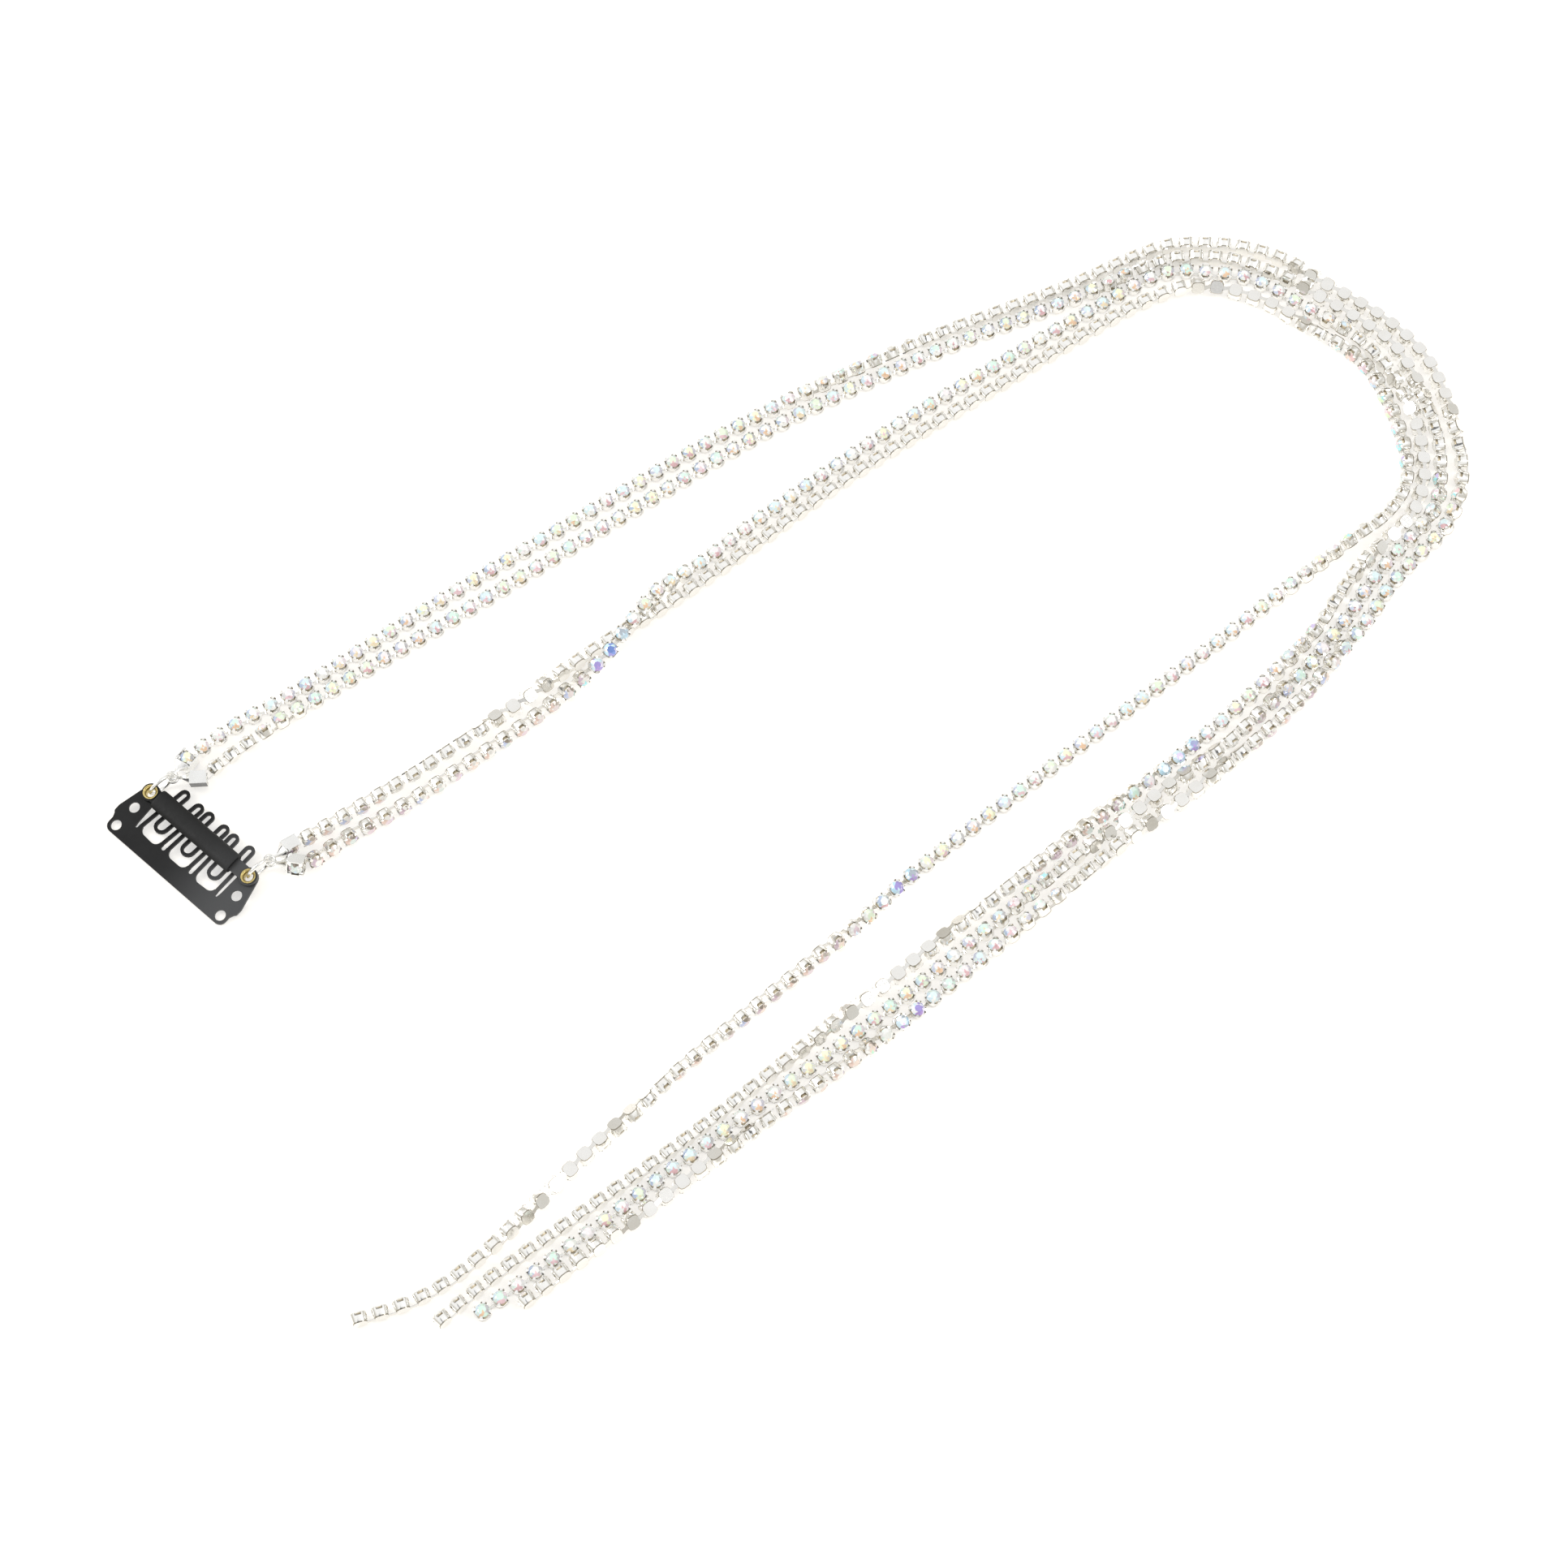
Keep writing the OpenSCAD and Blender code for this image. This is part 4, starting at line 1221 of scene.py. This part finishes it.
@dataclass(frozen=True)
class JumpRing:
    """A round silver ring that hangs in an eyelet and leans a little to one side."""

    hand: Hand
    lean: float = 10.0
    around: int = 64
    across: int = 14

    def build(self) -> bpy.types.Object:
        """Makes the ring.

        Returns:
            The piece.
        """
        eyelet = CLIP.eyelet(self.hand)
        way = np.array([*turned(CLIP.half_chord(eyelet[2]), 0, RING_TURN), 0.0])
        middle = np.array([*(eyelet + way)[:2], CLIP.ring_radius + CLIP.ring_wire / 2])
        axes = rolled(axes_between(np.zeros(3), way), self.lean)
        shell = Shell()
        shell.tube(wire_ring(CLIP.ring_radius, CLIP.ring_wire, self.around, self.across), around=True)
        # the ring stands upright, so its plane is that of the first and third directions
        shell.move(middle, axes[:, [0, 2, 1]])
        end = self.hand.name.lower()
        return add_piece("leaning_ring_" + end, shell, CAP_SILVER, "jump_ring_" + end, 60.0)


@dataclass(frozen=True)
class EndCap:
    """A folded silver cap round a strand's first cup, with a tapered neck and an eye."""

    letter: str
    route: Route
    sheet: float = 0.22
    gap: float = 0.07
    cover: float = 0.22
    chamfer: float = 0.55
    corner: float = 0.15
    lap: float = 0.02
    inset: float = 0.05
    tab_width: float = 0.8
    tab_reach: float = 0.35
    tab_thickness: float = 0.12
    neck_length: float = 1.45
    strip_width: float = 0.6
    strip_thickness: float = 0.48
    eye_radius: float = 0.98
    eye_wire: float = 0.48
    underside_shade_height: float = -0.3
    sharp: float = 32.0

    # The neck's eight-sided section, as shares of its half width and half thickness
    OCTAGON = ((-1, -0.6), (-0.6, -1), (0.6, -1), (1, -0.6), (1, 0.6), (0.6, 1), (-0.6, 1), (-1, 0.6))

    @property
    def inner(self) -> float:
        """Half the width of the cap inside."""
        return CUP.width / 2 + self.gap

    @property
    def outer(self) -> float:
        """Half the width of the cap outside."""
        return self.inner + self.sheet

    def add_box(self, shell: Shell) -> None:
        """Adds the back plate, the two side walls, the wall towards the neck, and the tabs.

        Args:
            shell: the cap so far.
        """
        inner, outer, cut, c = self.inner, self.outer, self.corner, self.chamfer
        back, top = CUP.back - self.gap, CUP.rim + self.cover
        plate = [(-outer, cut - outer), (cut - outer, -outer), (inner, -outer), (inner, outer),
                 (cut - outer, outer), (-outer, outer - cut)]
        shell.tube([[(x, y, z) for x, y in plate] for z in (back - self.sheet, back)])
        near, foot = self.inset - outer, back - self.lap
        wall = [(near, foot), (inner, foot), (inner, top - c), (inner - c, top), (near + c, top),
                (near, top - c)]
        for side in (-1, 1):
            shell.tube([[(x, y, z) for x, z in wall] for y in sorted((side * inner, side * outer))])
        half, low, shoulder = outer - 0.1, top - 0.6 * c, outer - 0.5
        front = [(-half, foot), (half, foot), (half, low), (shoulder, top - 0.1), (-shoulder, top - 0.1),
                 (-half, low)]
        shell.tube([[(x, y, z) for y, z in front] for x in (-outer, -inner)])
        tip = inner - self.tab_reach
        tab = [(outer, top - 0.3), (outer - 0.02, top + 0.06), (tip, top + self.tab_thickness), (tip, top),
               (inner, top - 0.08), (inner, top - 0.3)]
        for start in (self.inset - inner, inner - self.inset - self.tab_width):
            for side in (-1, 1):
                shell.tube([[(x, side * y, z) for y, z in tab] for x in (start, start + self.tab_width)])

    def add_neck(self, shell: Shell) -> None:
        """Adds the neck: a frustum that runs into a strip, which ends at the eye.

        Args:
            shell: the cap so far.
        """
        width, flat = self.strip_width / 2, self.strip_thickness / 2
        # Columns: place along the cap, half width, half thickness
        stages = [(self.lap - self.outer, self.outer - 0.25, 0.95),
                  (-self.outer - self.neck_length * 0.35, 1.15, 0.78),
                  (-self.outer - self.neck_length, width + 0.12, flat + 0.1),
                  (self.eye_radius - CAP_REACH, width, flat)]
        shell.tube([[(x, wide * y, thick * z) for y, z in self.OCTAGON] for x, wide, thick in stages])

    def build(self) -> bpy.types.Object:
        """Makes the cap.

        Returns:
            The piece.
        """
        eye, held = self.route.eye(), self.route.held_cup()
        flat_axes = axes_between(eye, held)
        axes = rolled(flat_axes, self.route.rows[0][3])
        shell = Shell()
        self.add_box(shell)
        self.add_neck(shell)
        shell.move(held, axes)
        shell.tube([[eye + flat_axes @ np.array(p) for p in section]
                    for section in wire_ring(self.eye_radius, self.eye_wire, 40, 12)], around=True)
        piece = add_piece("folded_cap_" + self.letter, shell, CAP_SILVER, "end_cap_" + self.letter,
                          self.sharp)
        # Painted shade: the faces that point down, below the held cup, take the dark silver
        piece.data.materials.append(CAP_UNDERSIDE_SHADE.material())
        up = Vector(axes[:, 2])
        for face in piece.data.polygons:
            if face.normal.dot(up) < -0.5 and (face.center / MM - Vector(held)).dot(up) < self.underside_shade_height:
                face.material_index = 1
        return piece


@dataclass(frozen=True)
class ClipMetal:
    """The clip's metal parts whose solids already have their true shape."""

    names: tuple[str, ...] = ("comb_plate", "flat_bar")
    finish: Finish = ENAMEL

    def dress(self) -> None:
        """Gives every such node its finish."""
        material = self.finish.material()
        for name in self.names:
            node = frame["nodes"][name]
            if not node.material_slots:
                node.data.materials.append(material)
            for slot in node.material_slots:
                slot.material = material
            LOG.info("%s: %s", name, self.finish.name)


@dataclass(frozen=True)
class Softbox:
    """A soft lamp. Its place and width are in metres and its power is in watts."""

    name: str
    place: Point
    width: float
    power: float

    def build(self, target: Point) -> None:
        """Makes the lamp.

        Args:
            target: the place that it faces.
        """
        data = bpy.data.lights.new(self.name, "AREA")
        data.size = self.width
        data.energy = self.power
        lamp = add_object(self.name, data)
        lamp.location = self.place
        lamp.rotation_euler = (Vector(target) - Vector(self.place)).to_track_quat("-Z", "Y").to_euler()


@dataclass(frozen=True)
class Studio:
    """The white table, the soft lights and the camera. Lengths are in metres."""

    camera_elevation: float = 63.0
    camera_distance: float = 0.768
    lens: float = 87.6
    sensor: float = 36.0
    target: Point = (-0.0043, -0.0091, 0.0)
    table_reach: float = 4.0
    table_color: Colour = (0.66, 0.63, 0.58)
    table_glow: float = 0.52
    lamps: tuple[Softbox, ...] = (Softbox("left_softbox", (-1.35, 0.35, 0.95), 0.8, 12.0),
                                  Softbox("right_softbox", (1.1, -0.2, 1.3), 0.7, 5.0))

    # The room's colour from the horizon, where the sine of the elevation is 0, to straight above
    SKY = ((0.0, (0.82, 0.80, 0.75)), (0.10, (0.62, 0.59, 0.53)), (0.26, (0.60, 0.58, 0.53)),
           (0.40, (0.82, 0.81, 0.78)), (0.5, (0.96, 0.96, 0.95)), (0.6, (1.0, 1.0, 1.0)),
           (0.80, (0.97, 0.97, 0.97)), (1.0, (0.98, 0.98, 0.98)))
    # The dark field round the blue direction: cosines of its outer and inner edge, and its strength
    DARK_FIELD = (0.955, 0.985)
    DARKNESS = 0.88

    def table(self) -> None:
        """Makes the white table."""
        reach = self.table_reach / MM
        shell = Shell()
        shell.faces.append(shell.ring([(-reach, -reach, 0), (reach, -reach, 0), (reach, reach, 0),
                                       (-reach, reach, 0)]))
        material, build = new_material("white_table")
        build.surface({"Base Color": (*self.table_color, 1.0), "Roughness": 0.9, "Specular IOR Level": 0.0,
                       "Emission Color": (1.0, 1.0, 1.0, 1.0), "Emission Strength": self.table_glow})
        mesh = shell.mesh("table")
        mesh.materials.append(material)
        add_object("table", mesh)

    def surroundings(self) -> None:
        """Makes the bright room, with a tan band above the horizon and a dark field high in front."""
        world = bpy.data.worlds.new("studio")
        world.use_nodes = True
        bpy.context.scene.world = world
        build = NodeBuilder(world.node_tree)
        place = build.add("ShaderNodeTexCoord").outputs["Generated"]
        height = build.add("ShaderNodeSeparateXYZ", {"Vector": place}).outputs["Z"]
        sky = build.add("ShaderNodeValToRGB", {"Fac": height})
        stops = sky.color_ramp.elements
        stops[0].position, stops[1].position = self.SKY[0][0], self.SKY[-1][0]
        for position, _ in self.SKY[1:-1]:
            stops.new(position)
        for stop, (_, color) in zip(stops, self.SKY):
            stop.color = (*color, 1.0)
        near = build.add("ShaderNodeVectorMath", {0: place, 1: tuple(BLUE_DIRECTION)},
                         operation="DOT_PRODUCT")
        share = build.spread(near.outputs["Value"], self.DARK_FIELD, (0.0, self.DARKNESS),
                             interpolation_type="SMOOTHSTEP")
        color = build.mix(share, sky.outputs["Color"], (0.0, 0.0, 0.0))
        light = build.add("ShaderNodeBackground", {"Color": color, "Strength": 1.0})
        build.add("ShaderNodeOutputWorld", {"Surface": light.outputs["Background"]})

    def camera(self) -> None:
        """Sets the camera at the photograph's angle."""
        data = bpy.data.cameras.new("camera")
        data.lens = self.lens
        data.sensor_width = self.sensor
        camera = add_object("camera", data)
        e = math.radians(self.camera_elevation)
        target = Vector(self.target)
        camera.location = target + self.camera_distance * Vector((0, -math.cos(e), math.sin(e)))
        camera.rotation_euler = (target - camera.location).to_track_quat("-Z", "Y").to_euler()
        bpy.context.scene.camera = camera

    def build(self) -> None:
        """Makes the whole studio."""
        self.table()
        self.surroundings()
        for lamp in self.lamps:
            lamp.build(self.target)
        self.camera()
        bpy.context.scene.view_settings.view_transform = "Standard"


def main() -> None:
    """Builds the hair chain and its studio in order."""
    logging.basicConfig(level=logging.INFO, format="%(message)s")
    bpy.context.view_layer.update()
    Studio().build()
    ClipMetal().dress()
    GripSleeve().build()
    for hand in Hand:
        Eyelet(hand).build()
        JumpRing(hand).build()
    parts, repeater = CupParts(CUP), Repeater()
    strands = [
        Strand("a", Route(ROWS_A, Hand.LEFT, eye_height=3.7, heading=60.0), seed=11),
        Strand("b", Route(ROWS_B, Hand.LEFT, eye_height=2.5, heading=4.0), seed=12),
        Strand("c", Route(ROWS_C, Hand.RIGHT, eye_height=2.5, heading=-9.0), seed=13),
        Strand("d", Route(ROWS_D, Hand.RIGHT, eye_height=3.7, heading=40.0), seed=14),
    ]
    for strand in strands:
        EndCap(strand.letter, strand.route).build()
        strand.build(parts, repeater)


if __name__ == "__main__":
    main()
